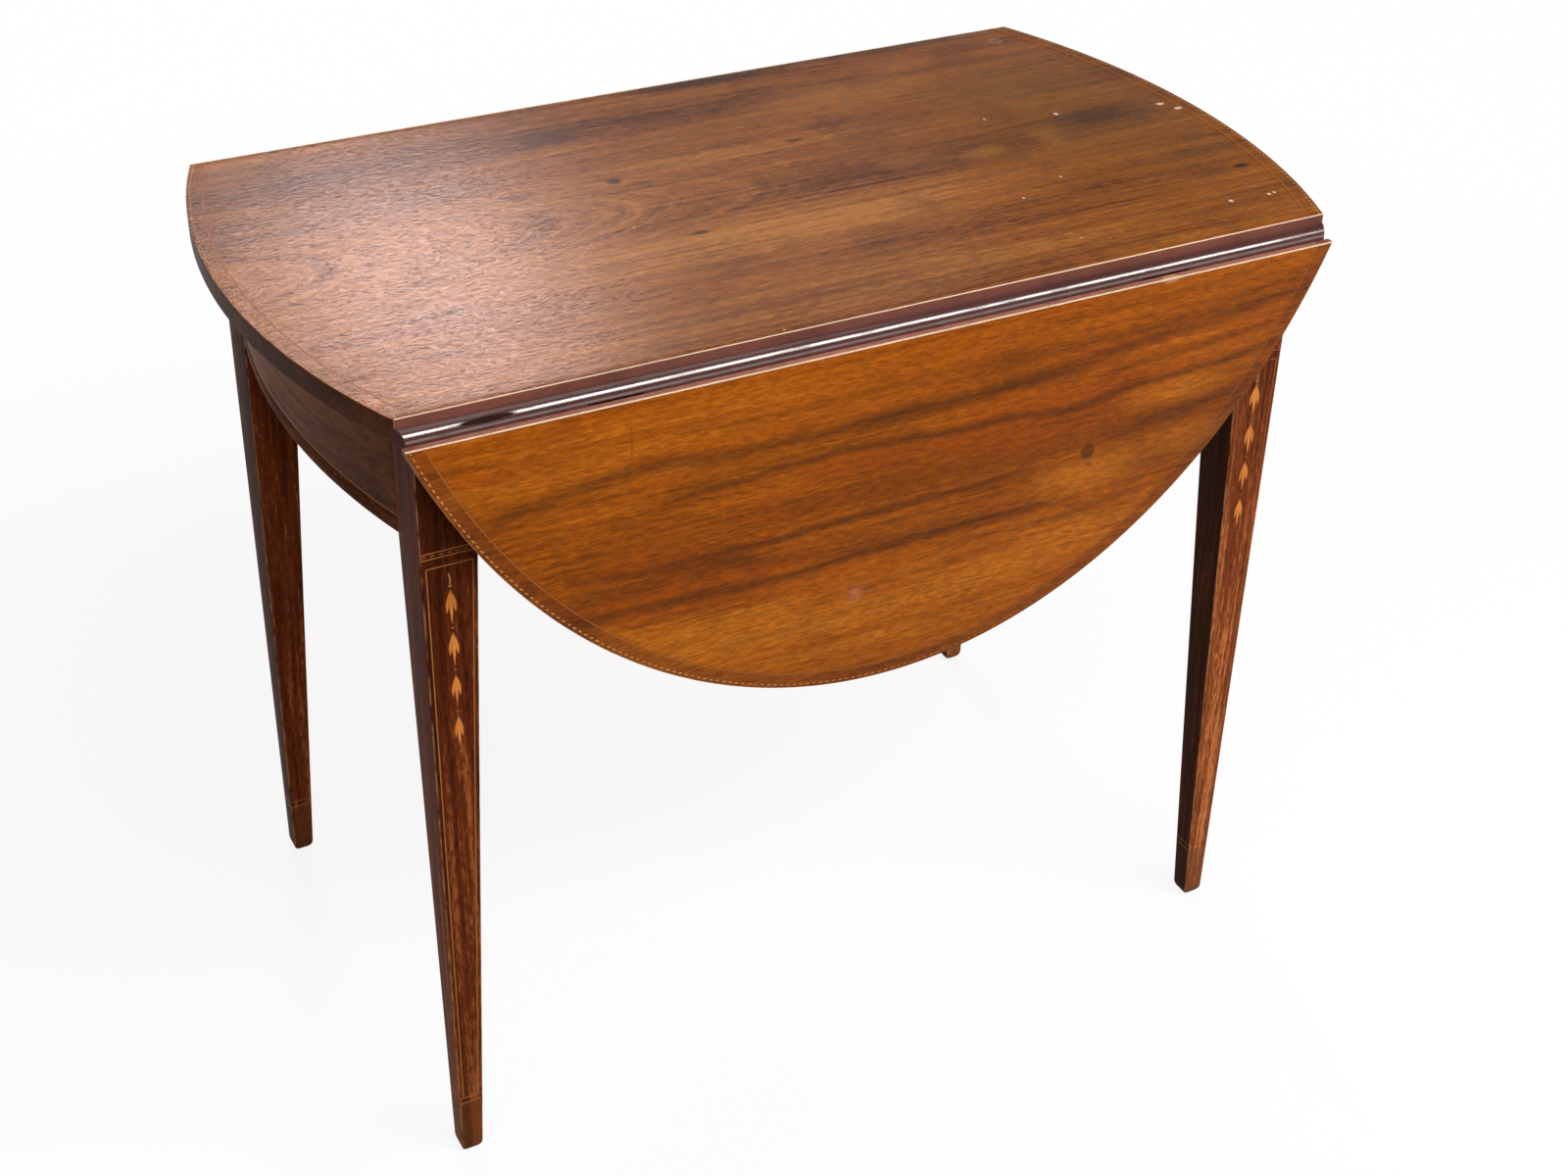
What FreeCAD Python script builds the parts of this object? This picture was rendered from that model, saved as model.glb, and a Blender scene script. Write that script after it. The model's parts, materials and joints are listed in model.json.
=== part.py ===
import FreeCAD, Part
import os
import re
import Sketcher
from FreeCAD import Placement, Rotation, Vector

# Pembroke table with two drop leaves on rule joints, fly brackets and one end drawer.
# Millimetres. The origin is on the floor under the middle of the top, +X runs along
# the rule joints, -Y is the front leaf's side and +Z is up. Leaves hang at rest.

# Driving sizes, one sheet cell each.
SIZES = {
    # Outline of the open table, an oval
    "table_height": 711.0,
    "outline_half_length": 441.0,
    "outline_half_width": 541.0,
    # Top, leaves and rule joint
    "top_thickness": 18.5,
    "joint_half_width": 240.5,
    "pin_rise": 2.0,
    "fillet_height": 7.0,
    "joint_gap": 0.5,
    # Legs
    "end_overhang": 60.5,
    "side_overhang": 9.5,
    "leg_square": 44.0,
    "foot_square": 18.0,
    # Rails
    "apron_height": 104.0,
    "end_rail_thickness": 22.0,
    "end_rail_bow": 25.0,
    "tenon_thickness": 8.0,
    "tenon_length": 18.0,
    "tenon_shoulder": 10.0,
    "drawer_rail_shoulder": 2.0,
    # Fly rails and brackets
    "fly_thickness": 22.0,
    "fly_height": 75.0,
    "fly_setback": 2.0,
    "fly_play": 0.5,
    "fly_drop": 0.8,
    "fly_pin_x": 110.0,
    "fly_pin_radius": 2.0,
    "fly_end_gap": 4.0,
    "fly_grip_length": 60.0,
    "fly_grip_height": 38.0,
    # Hinges
    "hinge_offset_x": 235.0,
    "hinge_length": 42.0,
    "hinge_flap_width": 32.0,
    "hinge_barrel_radius": 2.5,
    "hinge_pin_radius": 1.25,
    "hinge_play": 0.3,
    "hinge_screw_pitch": 14.0,
    "hinge_screw_row": 20.0,
    "hinge_screw_length": 10.0,
    "hinge_screw_radius": 1.5,
    "hinge_screw_head": 2.8,
    "running_play": 0.08,
    # Wood screws
    "wood_screw_radius": 2.0,
    "wood_screw_head": 4.0,
    "wood_screw_bite": 10.0,
    "top_screw_pitch": 240.0,
    "fly_screw_offset": 60.0,
    # Drawer and its carcase
    "lower_rail_height": 15.0,
    "upper_rail_height": 12.0,
    "runner_width": 20.0,
    "drawer_length": 450.0,
    "drawer_play": 0.5,
    "drawer_front_thickness": 20.0,
    "drawer_side_thickness": 10.0,
    "drawer_side_drop": 5.0,
    "drawer_back_thickness": 9.0,
    "drawer_bottom_thickness": 6.0,
    "drawer_bottom_rise": 8.0,
    "drawer_groove": 5.0,
    "tail_length": 12.0,
    "tail_root": 12.0,
    "tail_flare": 2.5,
    "knob_radius": 9.0,
    "knob_length": 19.0,
    "knob_shank_radius": 3.0,
    "knob_nut_radius": 6.0,
    "knob_nut_thickness": 4.0,
    "glue_block_size": 18.0,
    # Inlay
    "inlay_depth": 0.8,
    "string_width": 1.2,
    "string_inset": 12.5,
    "rope_inset": 2.6,
    "rope_width": 1.5,
    "rail_string_rise": 14.0,
    "panel_drop": 8.0,
    "panel_inset": 4.0,
    "band_gap": 6.0,
    "cuff_height": 62.5,
    "husk_offset": 21.0,
    "husk_drop": 29.0,
    "husk_length": 29.0,
    "husk_pitch": 37.0,
    "husk_width": 9.0,
    "husk_dot_radius": 1.2,
}
HUSKS_PER_LEG = 4
TAILS_PER_SIDE = 3
# Each husk down the chain is narrower than the first by this share of its width.
HUSK_NARROWING = 0.08
# Turned outline of the knob's head, as shares of its length and of its radius.
KNOB_OUTLINE = ((0, 0.72), (0.14, 0.72), (0.36, 0.42), (0.58, 0.86), (0.74, 1), (0.9, 0.8),
                (1, 0.35), (1, 0))

# Levels and faces worked out from the driving sizes
UNDERSIDE = "(table_height - top_thickness)"
PIN_HEIGHT = f"({UNDERSIDE} + pin_rise)"
OVOLO = "(top_thickness - pin_rise - fillet_height)"
COVE = f"({OVOLO} + joint_gap)"
LIP = "(joint_half_width + joint_gap)"
LEG_OUTER_X = "(outline_half_length - end_overhang)"
LEG_OUTER_Y = "(joint_half_width - side_overhang)"
LEG_INNER_X = f"({LEG_OUTER_X} - leg_square)"
LEG_INNER_Y = f"({LEG_OUTER_Y} - leg_square)"
APRON_BOTTOM = f"({UNDERSIDE} - apron_height)"
END_RAIL_INNER = f"({LEG_OUTER_X} - end_rail_thickness)"
BOW_FRONT = f"({LEG_OUTER_X} + end_rail_bow)"
BOW_RADIUS = f"(({LEG_INNER_Y}^2 + end_rail_bow^2) / (2 * end_rail_bow))"
FLY_OUTER = f"({LEG_OUTER_Y} - fly_setback)"
FLY_PIN_Y = f"({FLY_OUTER} - fly_thickness / 2)"
FLY_INNER = f"({FLY_OUTER} - fly_thickness)"
SIDE_RAIL_OUTER = f"({FLY_INNER} - fly_play)"
FLY_TOP = f"({UNDERSIDE} - fly_drop)"
FLY_BOTTOM = f"({FLY_TOP} - fly_height)"
FLY_TIP = f"({LEG_INNER_X} - fly_end_gap)"
DRAWER_LOW = f"({APRON_BOTTOM} + lower_rail_height + drawer_play)"
DRAWER_HIGH = f"({UNDERSIDE} - upper_rail_height - drawer_play)"
DRAWER_SIDE_TOP = f"({DRAWER_HIGH} - drawer_side_drop)"
DRAWER_HALF_WIDTH = f"({LEG_INNER_Y} - drawer_play)"
DRAWER_SIDE_INNER = f"({DRAWER_HALF_WIDTH} - drawer_side_thickness)"
DRAWER_FRONT_BACK = f"({LEG_OUTER_X} - drawer_front_thickness)"
DRAWER_BACK_X = f"({LEG_OUTER_X} - drawer_length)"
DRAWER_FLOOR = f"({DRAWER_LOW} + drawer_bottom_rise)"
PANEL_TOP = f"({APRON_BOTTOM} - panel_drop)"
CUFF_LOW = "(cuff_height - band_gap)"
# Tools that cut right through a face reach this far past it.
PAST = 5

SIDES = {"front": -1, "back": 1}
ENDS = {"left": -1, "right": 1}

doc = FreeCAD.newDocument("pembroke_table")
sheet = doc.addObject("Spreadsheet::Sheet", "sizes")
for row, (alias, value) in enumerate(SIZES.items(), start=1):
    sheet.set(f"A{row}", alias.replace("_", " "))
    sheet.set(f"B{row}", str(value))
    sheet.setAlias(f"B{row}", alias)
doc.recompute()

ALIAS = re.compile(r"\b(" + "|".join(SIZES) + r")\b")
pieces = {}


def formula(text):
    """Sheet expression for a formula written with the size names."""
    return ALIAS.sub(r"sizes.\1", str(text))


def bind(thing, formulas):
    for prop, text in formulas.items():
        thing.setExpression(prop, formula(text))
    return thing


def move_to(thing, x, y, z):
    return bind(thing, {"Placement.Base.x": x, "Placement.Base.y": y, "Placement.Base.z": z})


def negative(text):
    return f"(-1 * ({text}))"


def span(sign, near, far):
    """Low and high bound of a range given by its distances on one side of zero."""
    return (near, far) if sign > 0 else (negative(far), negative(near))


def both_ways(half):
    return (negative(half), half)


def signed(sign, text):
    return f"({sign} * ({text}))"


def box(name, x, y, z):
    """Block over three (low, high) ranges."""
    block = doc.addObject("Part::Box", name)
    for prop, (low, high) in zip(("Length", "Width", "Height"), (x, y, z)):
        bind(block, {prop: f"({high}) - ({low})"})
    return move_to(block, x[0], y[0], z[0])


def rod(name, direction, radius, length, at):
    """Round bar of a length from a point along a direction."""
    bar = doc.addObject("Part::Cylinder", name)
    bar.Placement = Placement(Vector(), Rotation(Vector(0, 0, 1), Vector(*direction)))
    bind(bar, {"Radius": radius, "Height": length})
    return move_to(bar, *at)


def tapered(name, low, high, x_low, y_low, x_high, y_high):
    """Upright tapered bar: (low, high) ranges in x and y at its foot and at its head."""
    bar = doc.addObject("Part::Wedge", name)
    bar.Placement = Placement(Vector(), Rotation(Vector(1, 0, 0), 90))
    bind(bar, {
        "Ymin": low, "Ymax": high,
        "Xmin": x_low[0], "Xmax": x_low[1], "X2min": x_high[0], "X2max": x_high[1],
        "Zmin": negative(y_low[1]), "Zmax": negative(y_low[0]),
        "Z2min": negative(y_high[1]), "Z2max": negative(y_high[0]),
    })
    return bar


def oval(name, inset, low, high):
    """Upright prism on the table's oval outline, drawn in by an inset."""
    half_x = f"(outline_half_length - ({inset}))"
    half_y = f"(outline_half_width - ({inset}))"
    curve = doc.addObject("Part::Ellipse", name + "_curve")
    bind(curve, {
        "MajorRadius": f"max({half_x}; {half_y})",
        "MinorRadius": f"min({half_x}; {half_y})",
        "Placement.Rotation.Angle": f"{half_x} >= {half_y} ? 0 : 90",
        "Placement.Base.z": low,
    })
    prism = doc.addObject("Part::Extrusion", name)
    prism.Base = curve
    prism.DirMode = "Custom"
    prism.Dir = Vector(0, 0, 1)
    prism.Solid = True
    return bind(prism, {"LengthFwd": f"({high}) - ({low})"})


def fuse(name, *parts):
    if len(parts) == 1:
        return parts[0]
    whole = doc.addObject("Part::MultiFuse", name)
    whole.Shapes = list(parts)
    return whole


def cut(name, base, *tools):
    left = doc.addObject("Part::Cut", name)
    left.Base = base
    left.Tool = fuse(name + "_tools", *tools)
    return left


def common(name, base, tool):
    shared = doc.addObject("Part::Common", name)
    shared.Base = base
    shared.Tool = tool
    return shared


def group(name, parts):
    held = doc.addObject("Part::Compound", name)
    held.Links = list(parts)
    return held


def piece(node, thing):
    """Enter a finished piece under its node name."""
    thing.Label = node
    pieces[node] = thing
    return thing


def hang(thing, sign):
    """Turn a piece drawn on the raised leaf down about the hinge pin."""
    thing.Placement = Placement(Vector(), Rotation(Vector(1, 0, 0), -90 * sign))
    swing = signed(sign, f"joint_half_width - {PIN_HEIGHT}")
    return move_to(thing, "0", swing, f"{PIN_HEIGHT} + joint_half_width")


def screw(name, direction, at, radius, head, length):
    """Countersunk screw whose head lies flush at a point, running along a direction."""
    turn = Rotation(Vector(0, 0, 1), Vector(*direction))
    cone = doc.addObject("Part::Cone", name + "_head")
    cone.Placement = Placement(Vector(), turn)
    bind(cone, {"Radius1": head, "Radius2": radius, "Height": f"({head}) - ({radius})"})
    move_to(cone, *at)
    return fuse(name, cone, rod(name + "_shank", direction, radius, length, at))


def hinge_screws(name, y_sign, outward, end_sign):
    """Three screws of one flap; outward is 1 on the leaf side of the pin, -1 on the top side."""
    middle = f"joint_half_width + {outward} * hinge_screw_row"
    made = []
    for step in (-1, 0, 1):
        x = f"{end_sign} * hinge_offset_x + {step} * hinge_screw_pitch"
        at = (x, signed(y_sign, middle), UNDERSIDE)
        made.append(screw(f"{name}_{step + 1}", (0, 0, 1), at, "hinge_screw_radius",
                          "hinge_screw_head", "hinge_screw_length"))
    return made


def hinge_flap(name, y_sign, outward, end_sign):
    """Flap plate with its share of the three barrel knuckles, drawn with the leaf raised."""
    centre = f"({end_sign} * hinge_offset_x)"
    third = "(hinge_length / 3)"
    reach = f"(joint_half_width + {outward} * hinge_flap_width)"
    near, far = ("joint_half_width", reach) if outward > 0 else (reach, "joint_half_width")
    plate = box(name + "_plate", (f"{centre} - hinge_length / 2", f"{centre} + hinge_length / 2"),
                span(y_sign, near, far), (UNDERSIDE, PIN_HEIGHT))
    axis_y = signed(y_sign, "joint_half_width")

    def knuckle(label, step, radius, play):
        start = f"{centre} + ({step} - 0.5) * {third} + ({play})"
        return rod(f"{name}_{label}_{step + 1}", (1, 0, 0), radius,
                   f"{third} - 2 * ({play})", (start, axis_y, PIN_HEIGHT))

    own, other = ((0,), (-1, 1)) if outward > 0 else ((-1, 1), (0,))
    room = "(hinge_barrel_radius + 2 * hinge_play)"
    relief = [knuckle("relief", step, room, negative("hinge_play / 2")) for step in other]
    barrel = [knuckle("knuckle", step, "hinge_barrel_radius", "hinge_play / 2") for step in own]
    bore_play = "running_play" if outward > 0 else "0"
    bore = rod(name + "_bore", (1, 0, 0), f"hinge_pin_radius + {bore_play}",
               f"hinge_length + {2 * PAST}",
               (f"{centre} - hinge_length / 2 - {PAST}", axis_y, PIN_HEIGHT))
    blank = fuse(name + "_blank", cut(name + "_relieved", plate, *relief), *barrel)
    return cut(name + "_bored", blank, bore)


def hinge_recess(name, y_sign, end_sign, inner, outer, ceiling):
    """Housing for the flaps and barrel of one hinge in the underside of a board."""
    half = "(hinge_length / 2 + hinge_play)"
    centre = f"({end_sign} * hinge_offset_x)"
    ends = (f"{centre} - {half}", f"{centre} + {half}")
    return box(name, ends, span(y_sign, inner, outer), (f"{UNDERSIDE} - {PAST}", ceiling))


def barrel_recess(name, y_sign, end_sign):
    half = "(hinge_length / 2 + hinge_play)"
    start = f"{end_sign} * hinge_offset_x - {half}"
    return rod(name, (1, 0, 0), "hinge_barrel_radius + hinge_play", f"2 * {half}",
               (start, signed(y_sign, "joint_half_width"), PIN_HEIGHT))


def oval_line(name, inset, width, trim):
    """Inlaid line that follows the oval outline, kept where it lies inside a block."""
    floor = "(table_height - inlay_depth)"
    past = f"(table_height + {PAST})"
    ring = cut(name + "_ring", oval(name + "_outer", inset, floor, "table_height"),
               oval(name + "_inner", f"{inset} + {width}", f"{floor} - {PAST}", past))
    return common(name, ring, trim)


def arris_line(name, y_sign, low, high):
    """Inlaid line along a straight edge of the top or of a leaf, trimmed by the oval."""
    strip = box(name + "_strip", both_ways("outline_half_length"), span(y_sign, low, high),
                ("table_height - string_width", "table_height"))
    return common(name, strip, oval(name + "_trim", "0", "table_height - top_thickness",
                                    "table_height"))


def make_hinges(side, y_sign, top_tools, leaf_tools):
    """Flaps, pins and screws of one leaf; adds the cuts they need to the two tool lists."""
    top_screws, leaf_screws = [], []
    for end, end_sign in ENDS.items():
        name = f"hinge_{side}_{end}"
        holding_top = hinge_screws(name + "_top_screw", y_sign, -1, end_sign)
        holding_leaf = hinge_screws(name + "_leaf_screw", y_sign, 1, end_sign)
        top_flap = hinge_flap(name + "_top", y_sign, -1, end_sign)
        leaf_flap = hinge_flap(name + "_leaf", y_sign, 1, end_sign)
        piece(name + "_top_flap", cut(name + "_top_drilled", top_flap, *holding_top))
        piece(name + "_leaf_flap",
              hang(cut(name + "_leaf_drilled", leaf_flap, *holding_leaf), y_sign))
        start = f"{end_sign} * hinge_offset_x - hinge_length / 2"
        piece(name + "_pin", rod(name + "_pin_rod", (1, 0, 0), "hinge_pin_radius", "hinge_length",
                                 (start, signed(y_sign, "joint_half_width"), PIN_HEIGHT)))
        flap_end = "(joint_half_width - hinge_flap_width)"
        edge = f"(joint_half_width + {OVOLO} + {PAST})"
        top_tools += [
            hinge_recess(name + "_flap_bed", y_sign, end_sign, flap_end, edge, PIN_HEIGHT),
            hinge_recess(name + "_swing_bed", y_sign, end_sign, "joint_half_width", edge,
                         f"{PIN_HEIGHT} + hinge_play"),
            barrel_recess(name + "_barrel_bed", y_sign, end_sign),
        ] + holding_top
        leaf_tools.append(hinge_recess(name + "_leaf_bed", y_sign, end_sign, LIP,
                                       "(joint_half_width + hinge_flap_width)", PIN_HEIGHT))
        leaf_tools += holding_leaf
        top_screws += holding_top
        leaf_screws += holding_leaf
    piece(f"hinge_screws_{side}_top", group(f"screws_{side}_top", top_screws))
    piece(f"hinge_screws_{side}_leaf", hang(group(f"screws_{side}_leaf", leaf_screws), y_sign))


def make_leaf(side, y_sign, leaf_tools):
    """Drop leaf drawn raised, with the cove that rides on the ovolo, then hung."""
    name = f"leaf_{side}"
    strip = box(name + "_strip", both_ways("outline_half_length"),
                span(y_sign, LIP, "outline_half_width"), (UNDERSIDE, "table_height"))
    blank = common(name + "_blank", strip,
                   oval(name + "_outline", "0", UNDERSIDE, "table_height"))
    length = f"2 * outline_half_length + {2 * PAST}"
    start = f"-1 * outline_half_length - {PAST}"
    cove = rod(name + "_cove", (1, 0, 0), COVE, length,
               (start, signed(y_sign, "joint_half_width"), PIN_HEIGHT))
    below = box(name + "_cove_foot", (start, f"{start} + {length}"),
                span(y_sign, "joint_half_width", f"(joint_half_width + {COVE})"),
                (f"{UNDERSIDE} - {PAST}", PIN_HEIGHT))
    field = span(y_sign, f"({LIP} + string_width)", "outline_half_width")
    face = ("table_height - top_thickness", "table_height")
    trim = box(name + "_field", both_ways("outline_half_length"), field, face)
    rope_trim = box(name + "_rope_field", both_ways("outline_half_length"), field, face)
    lines = [
        oval_line(name + "_line", "string_inset", "string_width", trim),
        oval_line(name + "_rope", "rope_inset", "rope_width", rope_trim),
        arris_line(name + "_lip_line", y_sign, LIP, f"({LIP} + string_width)"),
    ]
    piece(name, hang(cut(name + "_board", blank, cove, below, *leaf_tools, *lines), y_sign))
    piece(name + "_stringing", hang(group(name + "_lines", lines), y_sign))


def make_top(top_tools):
    """Top board: fillet and ovolo along both long edges, oval ends."""
    length = "2 * outline_half_length"
    start = "-1 * outline_half_length"
    core = box("top_core", both_ways("outline_half_length"), both_ways("joint_half_width"),
               (UNDERSIDE, "table_height"))
    ledge = box("top_ledge", both_ways("outline_half_length"),
                both_ways(f"(joint_half_width + {OVOLO})"), (UNDERSIDE, PIN_HEIGHT))
    rounds = [rod(f"top_ovolo_{side}", (1, 0, 0), OVOLO, length,
                  (start, signed(sign, "joint_half_width"), PIN_HEIGHT))
              for side, sign in SIDES.items()]
    above = box("top_above", both_ways("outline_half_length"),
                both_ways(f"(joint_half_width + {OVOLO})"), (PIN_HEIGHT, "table_height"))
    ovolos = [common(f"top_ovolo_{side}_upper", bar, above) for side, bar in zip(SIDES, rounds)]
    moulded = fuse("top_moulded", core, ledge, *ovolos)
    blank = common("top_blank", moulded, oval("top_outline", "0", UNDERSIDE, "table_height"))
    field = box("top_field", both_ways("outline_half_length"),
                both_ways("(joint_half_width - string_width)"), (UNDERSIDE, "table_height"))
    lines = [
        oval_line("top_line", "string_inset", "string_width", field),
        oval_line("top_rope", "rope_inset", "rope_width", field),
    ]
    lines += [arris_line(f"top_arris_{side}", sign, "(joint_half_width - string_width)",
                         "joint_half_width") for side, sign in SIDES.items()]
    piece("top_board", cut("top_cut", blank, *top_tools, *lines))
    piece("top_stringing", group("top_lines", lines))


def leg_width(height):
    return f"(foot_square + (leg_square - foot_square) * ({height}) / {APRON_BOTTOM})"


def husk(name, x, y_face, y_sign, top, width):
    """Bellflower of the inlay: a round crown drawn out to a point, let in from the leg's face."""
    values = {alias: float(sheet.get(alias)) for alias in ("husk_length", "inlay_depth")}
    half, length = width / 2, values["husk_length"]
    crown = Part.Arc(Vector(-half, 0, -length / 3), Vector(0, 0, 0), Vector(half, 0, -length / 3))
    flanks = [Part.Arc(Vector(sign * half, 0, -length / 3),
                       Vector(sign * half * 0.6, 0, -length * 2 / 3), Vector(0, 0, -length))
              for sign in (1, -1)]
    outline = Part.Wire([crown.toShape(), flanks[0].toShape(), flanks[1].toShape()])
    petal = doc.addObject("Part::Feature", name)
    petal.Shape = Part.Face(outline).extrude(Vector(0, -y_sign * values["inlay_depth"], 0))
    return move_to(petal, x, y_face, top)


def cuff_line(name, blank, x_sign, y_sign, height):
    """Line inlaid round all four faces of a leg at one height."""
    slab = box(name + "_slab", span(x_sign, LEG_INNER_X, LEG_OUTER_X),
               span(y_sign, LEG_INNER_Y, LEG_OUTER_Y), (height, f"{height} + string_width"))
    width = leg_width(f"{height} + string_width / 2")
    core = box(name + "_core",
               span(x_sign, f"({LEG_OUTER_X} - {width} + inlay_depth)", f"({LEG_OUTER_X} - inlay_depth)"),
               span(y_sign, f"({LEG_OUTER_Y} - {width} + inlay_depth)", f"({LEG_OUTER_Y} - inlay_depth)"),
               (f"{height} - {PAST}", f"{height} + string_width + {PAST}"))
    return cut(name, common(name + "_ring", blank, slab), core)


def leg_inlay(name, blank, x_sign, y_sign):
    """Husk chain, string panel, apron band and cuff of one leg, on its long-side face."""
    depth = span(y_sign, f"({LEG_OUTER_Y} - inlay_depth)", LEG_OUTER_Y)
    face = signed(y_sign, LEG_OUTER_Y)
    lines = []

    def flat(label, near, far, low, high):
        lines.append(box(f"{name}_{label}", span(x_sign, near, far), depth, (low, high)))

    outer = f"({LEG_OUTER_X} - panel_inset)"
    flat("panel_outer", f"({outer} - string_width)", outer, "cuff_height + string_width", PANEL_TOP)

    def inner(height):
        edge = f"({LEG_OUTER_X} - {leg_width(height)} + panel_inset)"
        return span(x_sign, edge, f"({edge} + string_width)")

    foot = "(cuff_height + string_width)"
    lines.append(tapered(f"{name}_panel_inner", foot, PANEL_TOP, inner(foot), depth,
                         inner(PANEL_TOP), depth))
    flat("panel_head", f"({LEG_OUTER_X} - {leg_width(PANEL_TOP)} + panel_inset)", outer,
         PANEL_TOP, f"{PANEL_TOP} + string_width")
    for step in (0, 1):
        low = f"{APRON_BOTTOM} + {step} * (band_gap - string_width)"
        flat(f"band_{step}", LEG_INNER_X, LEG_OUTER_X, low, f"{low} + string_width")
    for step, height in enumerate(("cuff_height", CUFF_LOW)):
        lines.append(cuff_line(f"{name}_cuff_{step}", blank, x_sign, y_sign, height))
    centre = signed(x_sign, f"{LEG_OUTER_X} - husk_offset")
    for step in range(HUSKS_PER_LEG):
        top = f"{APRON_BOTTOM} - husk_drop - {step} * husk_pitch"
        width = float(sheet.get("husk_width")) * (1 - HUSK_NARROWING * step)
        lines.append(husk(f"{name}_husk_{step}", centre, face, y_sign, top, width))
        dot_height = f"{top} + (husk_pitch - husk_length) / 2"
        lines.append(rod(f"{name}_dot_{step}", (0, -y_sign, 0), "husk_dot_radius", "inlay_depth",
                         (centre, face, dot_height)))
    return lines


def make_legs(mortises):
    """Legs square beside the rails, then tapered on the two inner faces."""
    for side, y_sign in SIDES.items():
        for end, x_sign in ENDS.items():
            name = f"leg_{side}_{end}"
            x_square = span(x_sign, LEG_INNER_X, LEG_OUTER_X)
            y_square = span(y_sign, LEG_INNER_Y, LEG_OUTER_Y)
            x_foot = span(x_sign, f"({LEG_OUTER_X} - foot_square)", LEG_OUTER_X)
            y_foot = span(y_sign, f"({LEG_OUTER_Y} - foot_square)", LEG_OUTER_Y)
            taper = tapered(name + "_taper", "0", APRON_BOTTOM, x_foot, y_foot, x_square, y_square)
            head = box(name + "_head", x_square, y_square, (APRON_BOTTOM, UNDERSIDE))
            blank = fuse(name + "_blank", taper, head)
            lines = leg_inlay(name, blank, x_sign, y_sign)
            tenons = [tenon for (tenon_side, tenon_end), tenon in mortises
                      if (tenon_side, tenon_end) == (side, end)]
            piece(name, cut(name + "_worked", blank, *tenons, *lines))
            piece(f"leg_inlay_{side}_{end}", group(name + "_inlay", lines))


def bowed(name, block):
    """Trim a block of the right-hand end to the bowed face."""
    drum = rod(name + "_drum", (0, 0, 1), BOW_RADIUS, "table_height",
               (f"{BOW_FRONT} - {BOW_RADIUS}", "0", "0"))
    return common(name, block, drum)


def end_rail(name, x_sign, low, high, shoulder, mortises):
    """Bowed rail between two legs with a tenon at each end; records the tenons for the legs."""
    block = box(name + "_block", (END_RAIL_INNER, BOW_FRONT), both_ways(LEG_INNER_Y), (low, high))
    end = "right" if x_sign > 0 else "left"
    cheek = f"({LEG_OUTER_X} - end_rail_thickness / 2 - tenon_thickness / 2)"
    tenons = []
    for side, y_sign in SIDES.items():
        tenon = box(f"{name}_tenon_{side}", span(x_sign, cheek, f"({cheek} + tenon_thickness)"),
                    span(y_sign, LEG_INNER_Y, f"({LEG_INNER_Y} + tenon_length)"),
                    (f"{low} + {shoulder}", f"{high} - {shoulder}"))
        mortises.append(((side, end), tenon))
        tenons.append(tenon)
    rail = bowed(name + "_bowed", block)
    if x_sign < 0:
        rail.Placement = Placement(Vector(), Rotation(Vector(0, 0, 1), 180))
    return fuse(name + "_tenoned", rail, *tenons)


def bow_line(name, low, high):
    """Line inlaid along the bowed face between two heights."""
    block = box(name + "_block", (END_RAIL_INNER, BOW_FRONT), both_ways(LEG_INNER_Y), (low, high))
    core = rod(name + "_core", (0, 0, 1), f"{BOW_RADIUS} - inlay_depth", "table_height",
               (f"{BOW_FRONT} - {BOW_RADIUS}", "0", "0"))
    return cut(name, bowed(name + "_face", block), core)


def make_end_rails(mortises):
    """Plain rail at the left end, drawer rails at the right end."""
    rail = end_rail("end_rail", -1, APRON_BOTTOM, UNDERSIDE, "tenon_shoulder", mortises)
    line_low = f"{APRON_BOTTOM} + rail_string_rise"
    line = bow_line("end_rail_line", line_low, f"{line_low} + string_width")
    line.Placement = Placement(Vector(), Rotation(Vector(0, 0, 1), 180))
    piece("end_rail_left", cut("end_rail_grooved", rail, line))
    piece("end_rail_stringing", line)
    piece("drawer_rail_lower", end_rail("lower_rail", 1, APRON_BOTTOM,
                                        f"({APRON_BOTTOM} + lower_rail_height)", "drawer_rail_shoulder",
                                        mortises))
    piece("drawer_rail_upper", end_rail("upper_rail", 1, f"({UNDERSIDE} - upper_rail_height)",
                                        UNDERSIDE, "drawer_rail_shoulder", mortises))


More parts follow.
